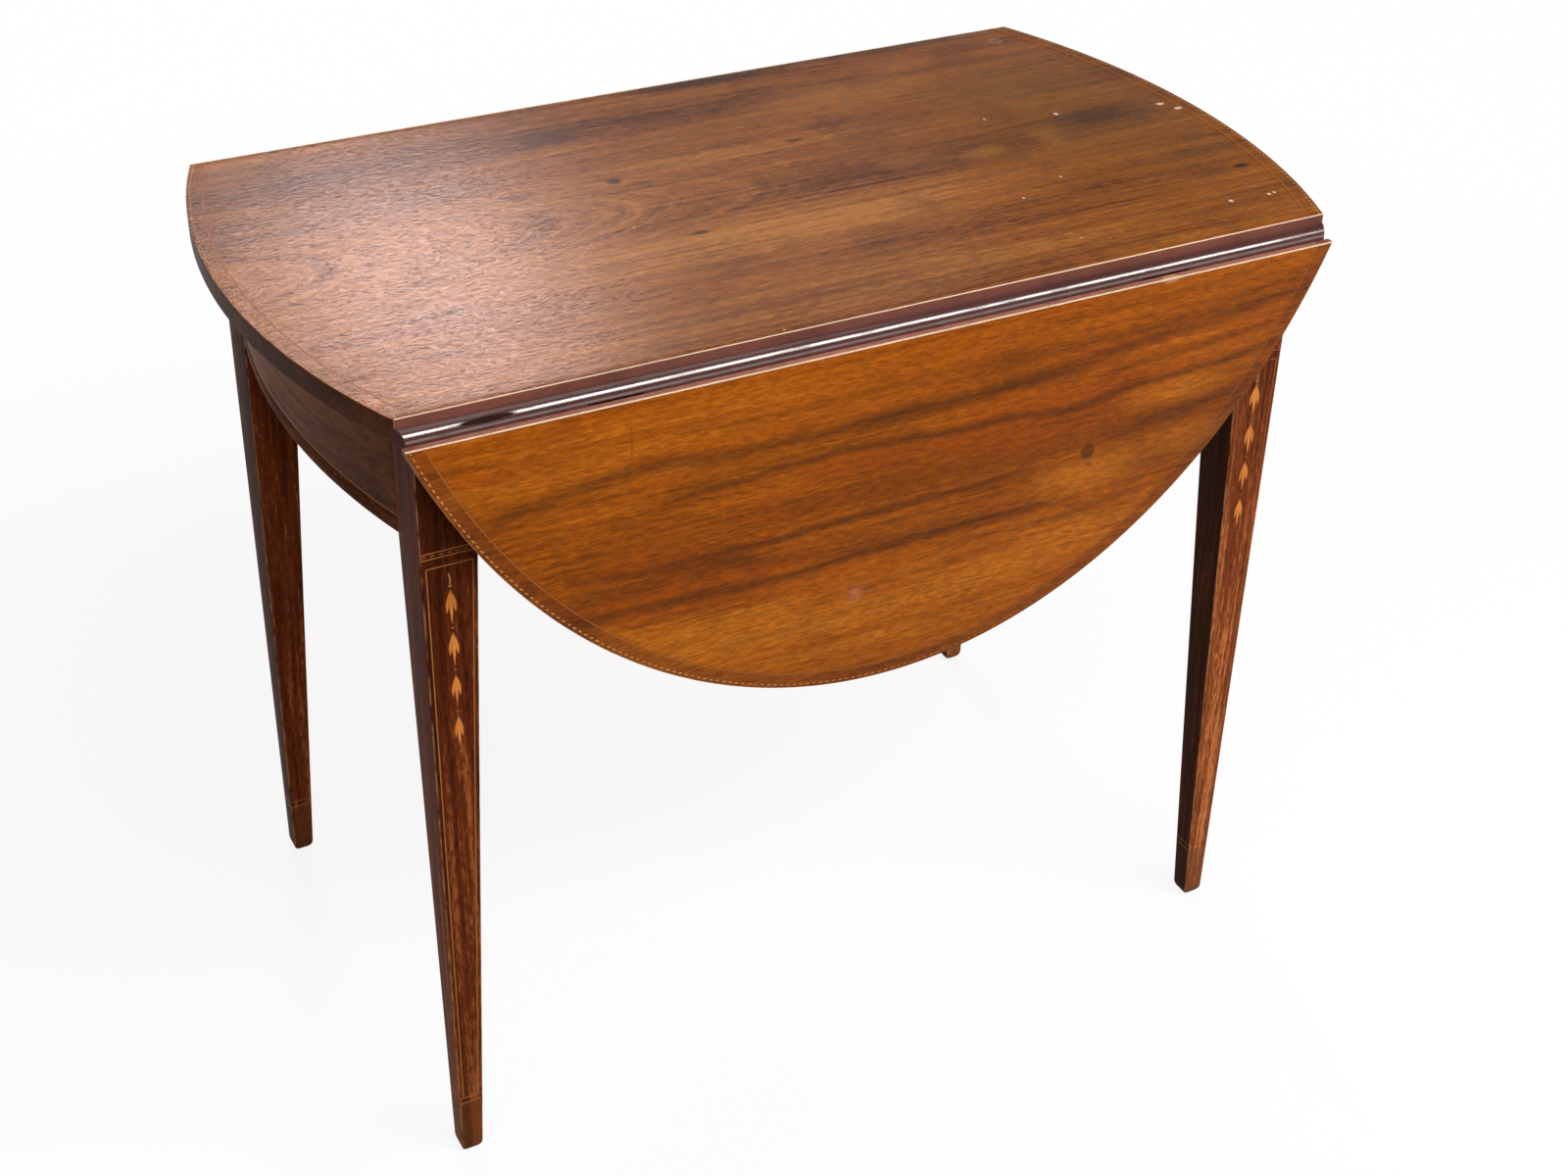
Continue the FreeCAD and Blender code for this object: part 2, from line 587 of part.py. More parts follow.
def make_side_rails(mortises):
    """Inner side rails, tenoned into the legs, and the screws that hold the fly rails to them."""
    middle = f"(({LEG_INNER_Y} + {SIDE_RAIL_OUTER}) / 2)"
    screw_height = f"({FLY_BOTTOM} + {FLY_TOP}) / 2"
    screw_length = f"{SIDE_RAIL_OUTER} - {LEG_INNER_Y} + wood_screw_bite"
    all_screws, held = [], {}
    for side, y_sign in SIDES.items():
        name = f"side_rail_{side}"
        rail = box(name + "_bar", both_ways(LEG_INNER_X), span(y_sign, LEG_INNER_Y, SIDE_RAIL_OUTER),
                   (APRON_BOTTOM, UNDERSIDE))
        tenons = []
        for end, x_sign in ENDS.items():
            tenon = box(f"{name}_tenon_{end}",
                        span(x_sign, LEG_INNER_X, f"({LEG_INNER_X} + tenon_length)"),
                        span(y_sign, f"({middle} - tenon_thickness / 2)",
                             f"({middle} + tenon_thickness / 2)"),
                        (f"{APRON_BOTTOM} + tenon_shoulder", f"{UNDERSIDE} - tenon_shoulder"))
            mortises.append(((side, end), tenon))
            tenons.append(tenon)
        screws = [screw(f"{name}_screw_{end}", (0, y_sign, 0),
                        (f"{x_sign} * fly_screw_offset", signed(y_sign, LEG_INNER_Y), screw_height),
                        "wood_screw_radius", "wood_screw_head", screw_length)
                  for end, x_sign in ENDS.items()]
        piece(name, cut(name + "_drilled", fuse(name + "_tenoned", rail, *tenons), *screws))
        held[side] = screws
        all_screws += screws
    piece("fly_rail_screws", group("fly_screws", all_screws))
    return held


def shoulder_cut(name, x_sign, y_sign):
    """Mitred shoulder beside a knuckle that lets the bracket swing out square."""
    reach = "(fly_thickness * 2)"
    tool = doc.addObject("Part::Box", name)
    outward = 45 if y_sign > 0 else -135
    tool.Placement = Placement(Vector(), Rotation(Vector(0, 0, 1), outward))
    bind(tool, {"Length": reach, "Width": reach, "Height": f"fly_height + {2 * PAST}"})
    return move_to(tool, f"{x_sign} * fly_pin_x", signed(y_sign, FLY_PIN_Y),
                   f"{FLY_BOTTOM} - {PAST}")


def make_fly_rails(rail_screws):
    """Fixed centre block, two swinging brackets and two pins on each long side."""
    third = "(fly_height / 3)"
    half = "(fly_thickness / 2)"
    for side, y_sign in SIDES.items():
        axis_y = signed(y_sign, FLY_PIN_Y)
        pins, block_cuts, block_fingers = [], [], []
        for end, x_sign in ENDS.items():
            name = f"fly_{side}_{end}"
            axis_x = f"{x_sign} * fly_pin_x"

            def level(label, step, radius, play, axis_x=axis_x, name=name):
                low = f"{FLY_BOTTOM} + {step} * {third} + ({play})"
                return rod(f"{name}_{label}_{step}", (0, 0, 1), radius,
                           f"{third} - 2 * ({play})", (axis_x, axis_y, low))

            room = f"({half} + fly_play)"
            shoulder = shoulder_cut(name + "_shoulder", x_sign, y_sign)
            pin = rod(name + "_pin", (0, 0, 1), "fly_pin_radius", "fly_height",
                      (axis_x, axis_y, FLY_BOTTOM))
            pins.append(pin)
            block_cuts += [shoulder, level("block_room", 1, room, "0")]
            block_fingers += [level("block_finger", step, half, "0") for step in (0, 2)]
            arm = box(name + "_bar", span(x_sign, "fly_pin_x", FLY_TIP),
                      span(y_sign, FLY_INNER, FLY_OUTER), (FLY_BOTTOM, FLY_TOP))
            grip = tapered(name + "_grip", f"{FLY_BOTTOM} - {PAST}", f"{FLY_BOTTOM} + fly_grip_height",
                           span(x_sign, f"({FLY_TIP} - fly_grip_length)", f"({FLY_TIP} + {PAST})"),
                           span(y_sign, f"({FLY_INNER} - {PAST})", f"({FLY_OUTER} + {PAST})"),
                           span(x_sign, FLY_TIP, f"({FLY_TIP} + {PAST})"),
                           span(y_sign, f"({FLY_INNER} - {PAST})", f"({FLY_OUTER} + {PAST})"))
            arm_cuts = [shoulder, grip]
            arm_cuts += [level("arm_room", step, room, negative("fly_play")) for step in (0, 2)]
            finger = level("arm_finger", 1, half, "fly_play")
            shaped = fuse(name + "_shaped", cut(name + "_cut", arm, *arm_cuts), finger)
            bore = rod(name + "_bore", (0, 0, 1), "fly_pin_radius + running_play",
                       f"fly_height + {2 * PAST}", (axis_x, axis_y, f"{FLY_BOTTOM} - {PAST}"))
            piece(f"fly_bracket_{side}_{end}", cut(name + "_bored", shaped, bore))
        block = box(f"fly_block_{side}", both_ways("fly_pin_x"), span(y_sign, SIDE_RAIL_OUTER, FLY_OUTER),
                    (FLY_BOTTOM, FLY_TOP))
        shaped = fuse(f"fly_block_{side}_shaped", cut(f"fly_block_{side}_cut", block, *block_cuts),
                      *block_fingers)
        piece(f"fly_rail_{side}",
              cut(f"fly_block_{side}_drilled", shaped, *pins, *rail_screws[side]))
        piece(f"fly_pins_{side}", group(f"fly_pin_pair_{side}", pins))


def make_runners(top_tools):
    """Runners under the drawer, kickers over it, and the screws up into the top."""
    all_screws = []
    length = both_ways(END_RAIL_INNER)
    for side, y_sign in SIDES.items():
        width = span(y_sign, f"({LEG_INNER_Y} - runner_width)", LEG_INNER_Y)
        piece(f"drawer_runner_{side}", box(f"runner_{side}", length, width,
                                           (APRON_BOTTOM, f"{APRON_BOTTOM} + lower_rail_height")))
        kicker_low = f"({UNDERSIDE} - upper_rail_height)"
        kicker = box(f"kicker_{side}", length, width, (kicker_low, UNDERSIDE))
        screws = [screw(f"top_screw_{side}_{step + 1}", (0, 0, 1),
                        (f"{step} * top_screw_pitch",
                         signed(y_sign, f"{LEG_INNER_Y} - runner_width / 2"), kicker_low),
                        "wood_screw_radius", "wood_screw_head", "upper_rail_height + wood_screw_bite")
                  for step in (-1, 0, 1)]
        piece(f"drawer_kicker_{side}", cut(f"kicker_{side}_drilled", kicker, *screws))
        top_tools += screws
        all_screws += screws
    piece("top_screws", group("top_screw_set", all_screws))


def make_glue_blocks():
    """Blocks rubbed into the corners between the left rail, the legs and the top."""
    blocks = []
    for side, y_sign in SIDES.items():
        x = span(-1, f"({END_RAIL_INNER} - glue_block_size)", END_RAIL_INNER)
        blocks.append(box(f"corner_block_{side}", x,
                          span(y_sign, f"({LEG_INNER_Y} - glue_block_size)", LEG_INNER_Y),
                          (f"{APRON_BOTTOM} + lower_rail_height",
                           f"{UNDERSIDE} - upper_rail_height")))
        blocks.append(box(f"rail_block_{side}", x,
                          span(y_sign, "glue_block_size", "(3 * glue_block_size)"),
                          (f"{UNDERSIDE} - glue_block_size", UNDERSIDE)))
    piece("glue_blocks", group("glue_block_set", blocks))


def dovetails(side, y_sign):
    """Tails on the end of a drawer side, flaring into the drawer front."""
    pitch = f"(({DRAWER_SIDE_TOP} - {DRAWER_LOW}) / {TAILS_PER_SIDE})"
    depth = span(y_sign, DRAWER_SIDE_INNER, DRAWER_HALF_WIDTH)
    tails = []
    for step in range(TAILS_PER_SIDE):
        middle = f"({DRAWER_LOW} + ({step} + 0.5) * {pitch})"
        tail = doc.addObject("Part::Wedge", f"tail_{side}_{step}")
        tail.Placement = Placement(Vector(), Rotation(Vector(0, 0, 1), -90))
        root, flare = "(tail_root / 2)", "(tail_root / 2 + tail_flare)"
        bind(tail, {
            "Ymin": "0", "Ymax": "tail_length",
            "Xmin": negative(depth[1]), "Xmax": negative(depth[0]),
            "X2min": negative(depth[1]), "X2max": negative(depth[0]),
            "Zmin": negative(root), "Zmax": root, "Z2min": negative(flare), "Z2max": flare,
        })
        tails.append(move_to(tail, DRAWER_FRONT_BACK, "0", middle))
    return tails


def make_knob():
    """Turned knob with a long shank through the drawer front, and its nut."""
    body = doc.addObject("PartDesign::Body", "knob_body")
    plane = next(f for f in body.Origin.OriginFeatures if f.Role == "XZ_Plane")
    sketch = body.newObject("Sketcher::SketchObject", "knob_profile")
    sketch.AttachmentSupport = [(plane, "")]
    sketch.MapMode = "FlatFace"
    shank_back = f"({DRAWER_FRONT_BACK} - knob_nut_thickness - {BOW_FRONT})"
    profile = [(shank_back, "0"), (shank_back, "knob_shank_radius"), ("0", "knob_shank_radius")]
    profile += [(f"knob_length * {along}", f"knob_radius * {out}") for along, out in KNOB_OUTLINE]
    points = [Vector(3.0 * step, 3.0 + step % 3, 0) for step in range(len(profile))]
    for step, start in enumerate(points):
        end = points[(step + 1) % len(points)]
        sketch.addGeometry(Part.LineSegment(start, end), False)
    for step in range(len(profile)):
        following = (step + 1) % len(profile)
        sketch.addConstraint(Sketcher.Constraint("Coincident", step, 2, following, 1))
    for step, (along, out) in enumerate(profile):
        for kind, text in (("DistanceX", along), ("DistanceY", out)):
            index = sketch.addConstraint(Sketcher.Constraint(kind, -1, 1, step, 1, 1.0 + step))
            sketch.setExpression(f"Constraints[{index}]", formula(text))
    turning = body.newObject("PartDesign::Revolution", "knob_turning")
    turning.Profile = sketch
    turning.ReferenceAxis = (sketch, ["H_Axis"])
    turning.Angle = 360.0
    body.Tip = turning
    height = f"({DRAWER_LOW} + {DRAWER_HIGH}) / 2"
    move_to(body, BOW_FRONT, "0", height)
    nut_start = f"{DRAWER_FRONT_BACK} - knob_nut_thickness"
    blank = doc.addObject("Part::Prism", "knob_nut_blank")
    blank.Polygon = 6
    blank.Placement = Placement(Vector(), Rotation(Vector(0, 0, 1), Vector(1, 0, 0)))
    bind(blank, {"Circumradius": "knob_nut_radius", "Height": "knob_nut_thickness"})
    move_to(blank, nut_start, "0", height)
    hole = rod("knob_hole", (1, 0, 0), "knob_shank_radius",
               f"drawer_front_thickness + end_rail_bow + knob_nut_thickness + {2 * PAST}",
               (f"{nut_start} - {PAST}", "0", height))
    piece("drawer_knob", body)
    piece("drawer_knob_nut", cut("knob_nut", blank, hole))
    return hole


def make_drawer():
    """Drawer with a bowed front, dovetailed sides, a back and a grooved-in bottom."""
    bottom = box("bottom_panel", (DRAWER_BACK_X, f"{DRAWER_FRONT_BACK} + drawer_groove"),
                 both_ways(f"({DRAWER_SIDE_INNER} + drawer_groove)"),
                 (DRAWER_FLOOR, f"{DRAWER_FLOOR} + drawer_bottom_thickness"))
    front_block = box("front_block", (DRAWER_FRONT_BACK, BOW_FRONT), both_ways(DRAWER_HALF_WIDTH),
                      (DRAWER_LOW, DRAWER_HIGH))
    front_tools = [bottom, make_knob()]
    for side, y_sign in SIDES.items():
        board = box(f"drawer_board_{side}", (DRAWER_BACK_X, DRAWER_FRONT_BACK),
                    span(y_sign, DRAWER_SIDE_INNER, DRAWER_HALF_WIDTH),
                    (DRAWER_LOW, DRAWER_SIDE_TOP))
        tails = dovetails(side, y_sign)
        front_tools += tails
        piece(f"drawer_side_{side}",
              cut(f"drawer_side_{side}_grooved", fuse(f"drawer_side_{side}_tailed", board, *tails),
                  bottom))
    piece("drawer_front", cut("drawer_front_cut", bowed("front_bowed", front_block), *front_tools))
    piece("drawer_back", box("drawer_back_board",
                             (DRAWER_BACK_X, f"{DRAWER_BACK_X} + drawer_back_thickness"),
                             both_ways(DRAWER_SIDE_INNER),
                             (f"{DRAWER_FLOOR} + drawer_bottom_thickness", DRAWER_SIDE_TOP)))
    piece("drawer_bottom", bottom)


def check_and_export():
    """Stop on any failed object, then write one file per piece."""
    doc.recompute()
    failed = [thing.Name for thing in doc.Objects
              if "Invalid" in thing.State or "Error" in thing.State]
    for node, thing in pieces.items():
        if thing.Shape.isNull() or not thing.Shape.isValid() or not thing.Shape.Solids:
            failed.append(node)
    if failed:
        raise RuntimeError("failed: " + ", ".join(failed))
    os.makedirs("parts", exist_ok=True)
    for node, thing in pieces.items():
        thing.Shape.exportStep(f"parts/{node}.step")
        print(f"{node}: {len(thing.Shape.Solids)} solid(s), {thing.Shape.Volume:.0f} mm3")


top_cuts = []
tenon_list = []
make_runners(top_cuts)
for side_name, side_sign in SIDES.items():
    leaf_cuts = []
    make_hinges(side_name, side_sign, top_cuts, leaf_cuts)
    make_leaf(side_name, side_sign, leaf_cuts)
make_top(top_cuts)
make_end_rails(tenon_list)
fly_screws = make_side_rails(tenon_list)
make_legs(tenon_list)
make_fly_rails(fly_screws)
make_glue_blocks()
make_drawer()
check_and_export()
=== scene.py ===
"""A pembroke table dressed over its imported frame: figured mahogany top, leaves, legs and rails,
boxwood stringing, rope edging and husks, iron hinges, a brass knob, and a plain studio stage.
Metres throughout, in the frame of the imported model. The leaves hang at rest.
"""
import json
import math

import bmesh
import bpy
from bpy.props import FloatProperty, FloatVectorProperty, IntProperty, PointerProperty
from mathutils import Matrix, Vector


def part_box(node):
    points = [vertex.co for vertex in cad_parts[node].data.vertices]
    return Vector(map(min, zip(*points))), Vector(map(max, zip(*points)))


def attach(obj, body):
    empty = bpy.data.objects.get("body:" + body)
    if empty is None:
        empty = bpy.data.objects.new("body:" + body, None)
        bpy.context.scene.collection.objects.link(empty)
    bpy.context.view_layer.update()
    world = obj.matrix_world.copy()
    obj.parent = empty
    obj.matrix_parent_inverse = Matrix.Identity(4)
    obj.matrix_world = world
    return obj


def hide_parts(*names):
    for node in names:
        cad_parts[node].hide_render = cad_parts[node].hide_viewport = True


bl_info = {
    "name": "Pembroke Table",
    "version": (1, 0, 0),
    "blender": (4, 5, 0),
    "location": "3D View > Sidebar > Table",
    "description": "Dresses the packed frame of a drop-leaf table with its wood, inlay and metal",
    "category": "Object",
}

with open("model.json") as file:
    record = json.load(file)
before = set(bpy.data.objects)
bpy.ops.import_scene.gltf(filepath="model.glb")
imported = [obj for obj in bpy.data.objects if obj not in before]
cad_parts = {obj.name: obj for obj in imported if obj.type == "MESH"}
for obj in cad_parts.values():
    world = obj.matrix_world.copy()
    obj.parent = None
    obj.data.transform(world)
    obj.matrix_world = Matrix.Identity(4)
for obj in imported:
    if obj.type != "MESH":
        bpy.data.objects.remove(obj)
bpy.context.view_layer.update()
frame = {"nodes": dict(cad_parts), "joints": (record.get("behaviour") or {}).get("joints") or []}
TOP_LOW, TOP_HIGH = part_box("top_board")
LEAF_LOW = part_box("leaf_front")[0]
LEG_LOW, LEG_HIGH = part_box("leg_back_right")
RAIL_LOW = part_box("end_rail_left")[0]
STRING_LOW, STRING_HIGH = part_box("end_rail_stringing")
KNOB_LOW, KNOB_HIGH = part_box("drawer_knob")
FRONT_LOW, FRONT_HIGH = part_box("drawer_front")
INLAY_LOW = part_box("leg_inlay_back_right")[0]
LEAF_FLAP_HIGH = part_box("hinge_front_left_leaf_flap")[1]
LEAF_PIN = next(Vector(j["pos_m"]) for j in frame["joints"] if j["name"] == "leaf_front_hinge")

MM = 0.001
SIDES = {"front": -1, "back": 1}
ENDS = {"left": -1, "right": 1}
LEGS = [(side, end) for side in SIDES for end in ENDS]
WHITE, BLACK = (1, 1, 1, 1), (0, 0, 0, 1)


def length(label, text, value):
    """A size in metres that a user can change."""
    return FloatProperty(name=label, description=text, default=value, unit="LENGTH", precision=4)


def share(label, text, value):
    """A plain factor."""
    return FloatProperty(name=label, description=text, default=value, subtype="FACTOR", min=0, max=1)


def power(label, text, value):
    """The strength of a soft box."""
    return FloatProperty(name=label, description=text, default=value, unit="POWER")


def linear(level):
    """A display level from 0 to 255 as scene-linear light."""
    level /= 255
    return level / 12.92 if level <= 0.04045 else ((level + 0.055) / 1.055) ** 2.4


def colour(label, text, red, green, blue):
    """A colour written in display levels."""
    value = (linear(red), linear(green), linear(blue), 1)
    return FloatVectorProperty(name=label, description=text, default=value, size=4,
                               subtype="COLOR", min=0, max=1)


class TableSizes(bpy.types.PropertyGroup):
    """Sizes of the dressed pieces, with the frame's own measures as defaults."""
    table_height: length("Table height", "Floor to the face of the top", TOP_HIGH.z)
    thickness: length("Top thickness", "Thickness of the top and the leaves", TOP_HIGH.z - TOP_LOW.z)
    half_length: length("Half length", "Half of the oval outline along the joints", TOP_HIGH.x)
    half_width: length("Half width", "Half of the oval outline with the leaves up",
                       LEAF_PIN.z - LEAF_LOW.z - LEAF_PIN.y)
    joint_half_width: length("Joint half width", "Centre line to the hinge pins", -LEAF_PIN.y)
    pin_height: length("Pin height", "Floor to the hinge pins", LEAF_PIN.z)
    ovolo_radius: length("Ovolo radius", "Round of the top's rule joint", TOP_HIGH.y + LEAF_PIN.y)
    joint_gap: length("Joint gap", "Room between the ovolo and the cove", 0.5 * MM)
    hinge_play: length("Hinge play", "Room round a hinge in its bed", 0.3 * MM)
    barrel_radius: length("Barrel radius", "Round of the hinge knuckles", LEAF_FLAP_HIGH.z - LEAF_PIN.z)
    arris: length("Arris", "Softened edge of the top, leaves and rails", 0.8 * MM)
    leg_outer_x: length("Leg outer face, ends", "Centre to the end face of a leg", LEG_HIGH.x)
    leg_outer_y: length("Leg outer face, sides", "Centre to the side face of a leg", LEG_HIGH.y)
    leg_square: length("Leg square", "Side of the leg above the taper", LEG_HIGH.x - LEG_LOW.x)
    foot_square: length("Foot square", "Side of the leg at the floor", 18 * MM)
    leg_arris: length("Leg arris", "Softened corner of a leg", 1.0 * MM)
    foot_round: length("Foot round", "Height of the worn round under the foot", 9 * MM)
    foot_inset: length("Foot inset", "How far the round draws in under the foot", 5.5 * MM)
    apron_bottom: length("Apron bottom", "Floor to the lower edge of the rails", RAIL_LOW.z)
    rail_softening: length("Rail softening", "Softened edge of the inner pieces", 0.6 * MM)


class InlaySizes(bpy.types.PropertyGroup):
    """Sizes of the stringing, the rope edging and the husks."""
    rise: length("Rise", "How far old inlay stands proud of shrunken wood", 0.1 * MM)
    depth: length("Depth", "How far inlay reaches into the wood", 0.7 * MM)
    string_width: length("String width", "Width of the plain strings", 1.0 * MM)
    string_inset: length("String inset", "Outline to the middle of the string", 13.1 * MM)
    rope_inset: length("Rope inset", "Outline to the middle of the rope edging", 3.3 * MM)
    rope_pitch: length("Rope pitch", "Distance from strand to strand", 6.0 * MM)
    rope_strand: length("Rope strand", "Length of one pale strand", 3.6 * MM)
    rope_width: length("Rope width", "Width of one pale strand", 1.25 * MM)
    panel_inset: length("Panel inset", "Leg arris to the panel string", 4 * MM)
    panel_drop: length("Panel drop", "Apron's lower edge to the panel's head", 8 * MM)
    band_gap: length("Band gap", "Between the two lines of a band", 4.8 * MM)
    cuff_height: length("Cuff height", "Floor to the lower cuff line", INLAY_LOW.z)
    husk_count: IntProperty(name="Husks", description="Husks down each leg", default=4, min=1)
    husk_top: length("First husk", "Floor to the top of the first husk", 559.5 * MM)
    husk_length: length("Husk length", "Length of one husk", 29 * MM)
    husk_width: length("Husk width", "Width of the first husk", 9.5 * MM)
    husk_pitch: length("Husk pitch", "From one husk to the next", 37 * MM)
    husk_offset: length("Husk offset", "Outer corner of the leg to the husks", 21 * MM)
    husk_narrowing: share("Narrowing", "Share of its width that each husk loses", 0.06)


class TableColours(bpy.types.PropertyGroup):
    """Colours of the woods and metals, in display levels."""
    top_dark: colour("Top, dark", "Dark figure of the top", 86, 42, 16)
    top_mid: colour("Top, middle", "Main tone of the top", 140, 82, 30)
    top_light: colour("Top, light", "Light figure of the top", 178, 116, 52)
    top_streak: colour("Top, streak", "Streaks in the top", 70, 34, 16)
    top_olive: colour("Top, olive", "Golden patch at the right end", 122, 78, 18)
    speck: colour("Speck", "Chips down to the bare wood", 236, 200, 176)
    moulding: colour("Moulding", "Ovolo of the rule joint", 76, 44, 42)
    fillet: colour("Fillet", "Fillet above the ovolo", 134, 82, 72)
    # The lip's colour is partly wear and partly a painted sheen on its upward face
    lip: colour("Lip", "Rubbed lip of the leaves", 170, 114, 98)
    leaf_dark: colour("Leaf, dark", "Dark figure of the leaves", 136, 66, 4)
    leaf_mid: colour("Leaf, middle", "Main tone of the leaves", 172, 87, 9)
    leaf_light: colour("Leaf, light", "Light figure of the leaves", 196, 110, 24)
    leaf_red: colour("Leaf red", "Reddish zones of the leaves", 158, 68, 7)
    leaf_streak: colour("Leaf, streak", "Ribbon streaks in the leaves", 80, 40, 5)
    leg_dark: colour("Leg, dark", "Dark figure of the legs", 58, 23, 10)
    leg_mid: colour("Leg, middle", "Main tone of the legs", 92, 41, 18)
    leg_light: colour("Leg, light", "Light figure of the legs", 150, 82, 42)
    rail_dark: colour("Rail, dark", "Dark figure of the aprons", 58, 30, 16)
    rail_mid: colour("Rail, middle", "Main tone of the aprons", 94, 52, 28)
    rail_light: colour("Rail, light", "Light figure of the aprons", 124, 74, 44)
    boxwood: colour("Boxwood", "Strings, rope and husks", 236, 178, 112)
    holly: colour("Holly", "Pale lines on the arrises of the rule joint", 255, 234, 204)
    husk: colour("Husk", "Satinwood husks", 240, 148, 70)
    boxwood_burnt: colour("Boxwood, burnt", "Scorched and stained boxwood", 148, 78, 32)
    grime: colour("Grime", "Old polish and dirt", 40, 22, 14)
    wear: colour("Wear", "Rubbed edges and nicks", 196, 140, 100)
    beech: colour("Beech", "Fly rails and brackets", 150, 104, 66)
    pine: colour("Pine", "Rails and runners inside", 158, 116, 72)
    oak: colour("Oak", "Drawer linings", 170, 132, 88)
    iron: colour("Iron", "Hinges and screws", 70, 64, 60)
    rust: colour("Rust", "Rust on the iron", 96, 52, 28)
    brass: colour("Brass", "Knob and its nut", 190, 148, 78)


class StageLook(bpy.types.PropertyGroup):
    """Camera, light and floor."""
    lens: FloatProperty(name="Lens", description="Focal length of the camera", default=54.62,
                        unit="CAMERA")
    key_power: power("Key", "Soft box at the front right", 127)
    fill_power: power("Fill", "Soft box at the front left", 8)
    sheen_power: power("Sheen", "Soft boxes behind, mirrored in the top", 34)
    top_power: power("Overhead", "Soft box over the table", 5)
    ambient: share("Ambient", "Light from all around", 0.2)
    sheen_colour: colour("Sheen colour", "Warm light behind the table", 255, 224, 220)
    floor: colour("Floor", "Pale floor", 150, 150, 150)
    ceiling: colour("Ceiling", "What polish mirrors from above", 46, 42, 40)


# Shader wiring

class Wiring:
    """Adds nodes to one node tree and joins them up."""

    def __init__(self, tree):
        self.tree = tree

    def set(self, socket, value):
        if isinstance(value, bpy.types.NodeSocket):
            self.tree.links.new(value, socket)
        else:
            socket.default_value = value

    def add(self, kind, values=None, **settings):
        node = self.tree.nodes.new(kind)
        for key, value in settings.items():
            setattr(node, key, value)
        for key, value in (values or {}).items():
            self.set(node.inputs[key], value)
        return node

    def math(self, operation, *values):
        return self.add("ShaderNodeMath", dict(enumerate(values)), operation=operation).outputs[0]

    def times(self, first, second):
        return self.math("MULTIPLY", first, second)

    def plus(self, first, second):
        return self.math("ADD", first, second)

    def minus(self, first, second):
        return self.math("SUBTRACT", first, second)

    def rest(self, value):
        """What a value lacks of 1."""
        return self.minus(1.0, value)

    def larger(self, first, second):
        return self.math("MAXIMUM", first, second)

    def size(self, value):
        return self.math("ABSOLUTE", value)

    def parts(self, vector):
        """The X, Y and Z of a vector."""
        return self.add("ShaderNodeSeparateXYZ", {0: vector}).outputs

    def joined(self, x=0.0, y=0.0, z=0.0):
        """The vector with this X, Y and Z."""
        return self.add("ShaderNodeCombineXYZ", {0: x, 1: y, 2: z}).outputs[0]

    def place(self):
        """Object coordinates."""
        return self.add("ShaderNodeTexCoord").outputs["Object"]

    def attribute(self, name):
        """A value that the mesh carries."""
        return self.add("ShaderNodeAttribute", attribute_name=name).outputs["Fac"]

    def vector(self, operation, first, second=(0, 0, 0)):
        node = self.add("ShaderNodeVectorMath", {0: first, 1: second}, operation=operation)
        return node.outputs["Value" if operation == "LENGTH" else "Vector"]

    def scaled(self, first, second):
        return self.vector("MULTIPLY", first, second)

    def noise(self, vector, scale, detail=2.0, roughness=0.5):
        """Noise in features of 1 / scale metres along each axis."""
        stretched = self.scaled(vector, scale)
        values = {"Vector": stretched, "Scale": 1.0, "Detail": detail, "Roughness": roughness}
        return self.add("ShaderNodeTexNoise", values).outputs[0]

    def step(self, value, low, high):
        """A soft step from 0 at low to 1 at high."""
        values = {"Value": value, "From Min": low, "From Max": high}
        return self.add("ShaderNodeMapRange", values, interpolation_type="SMOOTHSTEP").outputs[0]

    def between(self, value, low, high):
        """A value from 0 to 1 spread from low to high."""
        return self.add("ShaderNodeMapRange", {"Value": value, "To Min": low, "To Max": high}).outputs[0]

    def mix(self, amount, first, second):
        node = self.add("ShaderNodeMix", {0: amount, 6: first, 7: second}, data_type="RGBA")
        return node.outputs[2]

    def paint(self, tone, colour, mask, amount):
        """A tone with a colour laid over it where the mask says so."""
        return self.mix(self.times(mask, amount), tone, colour)

    def group(self, tree, **values):
        """Places a node group, with its inputs named by words joined with underscores."""
        node = self.add("ShaderNodeGroup", node_tree=tree)
        for key, value in values.items():
            self.set(node.inputs[key.replace("_", " ")], value)
        return node.outputs


def made_once(build):
    """Hands out a node group by its name, and builds it on its first use."""
    name = build.__name__.replace("_", " ")
    return lambda: bpy.data.node_groups.get(name) or build(name)


def group_ends(tree):
    """The wiring of a new group, its inputs and its outputs."""
    source = tree.nodes.new("NodeGroupInput").outputs
    return Wiring(tree), source, tree.nodes.new("NodeGroupOutput").inputs


def shader_group(name, inputs, outputs):
    """A new shader group that reads a place, with its other sockets."""
    tree = bpy.data.node_groups.new(name, "ShaderNodeTree")
    for label, kind, value in [("Vector", "Vector", (0, 0, 0)), *inputs]:
        socket = tree.interface.new_socket(label, in_out="INPUT", socket_type="NodeSocket" + kind)
        socket.default_value = value
    for label, kind in outputs:
        tree.interface.new_socket(label, in_out="OUTPUT", socket_type="NodeSocket" + kind)
    return group_ends(tree)


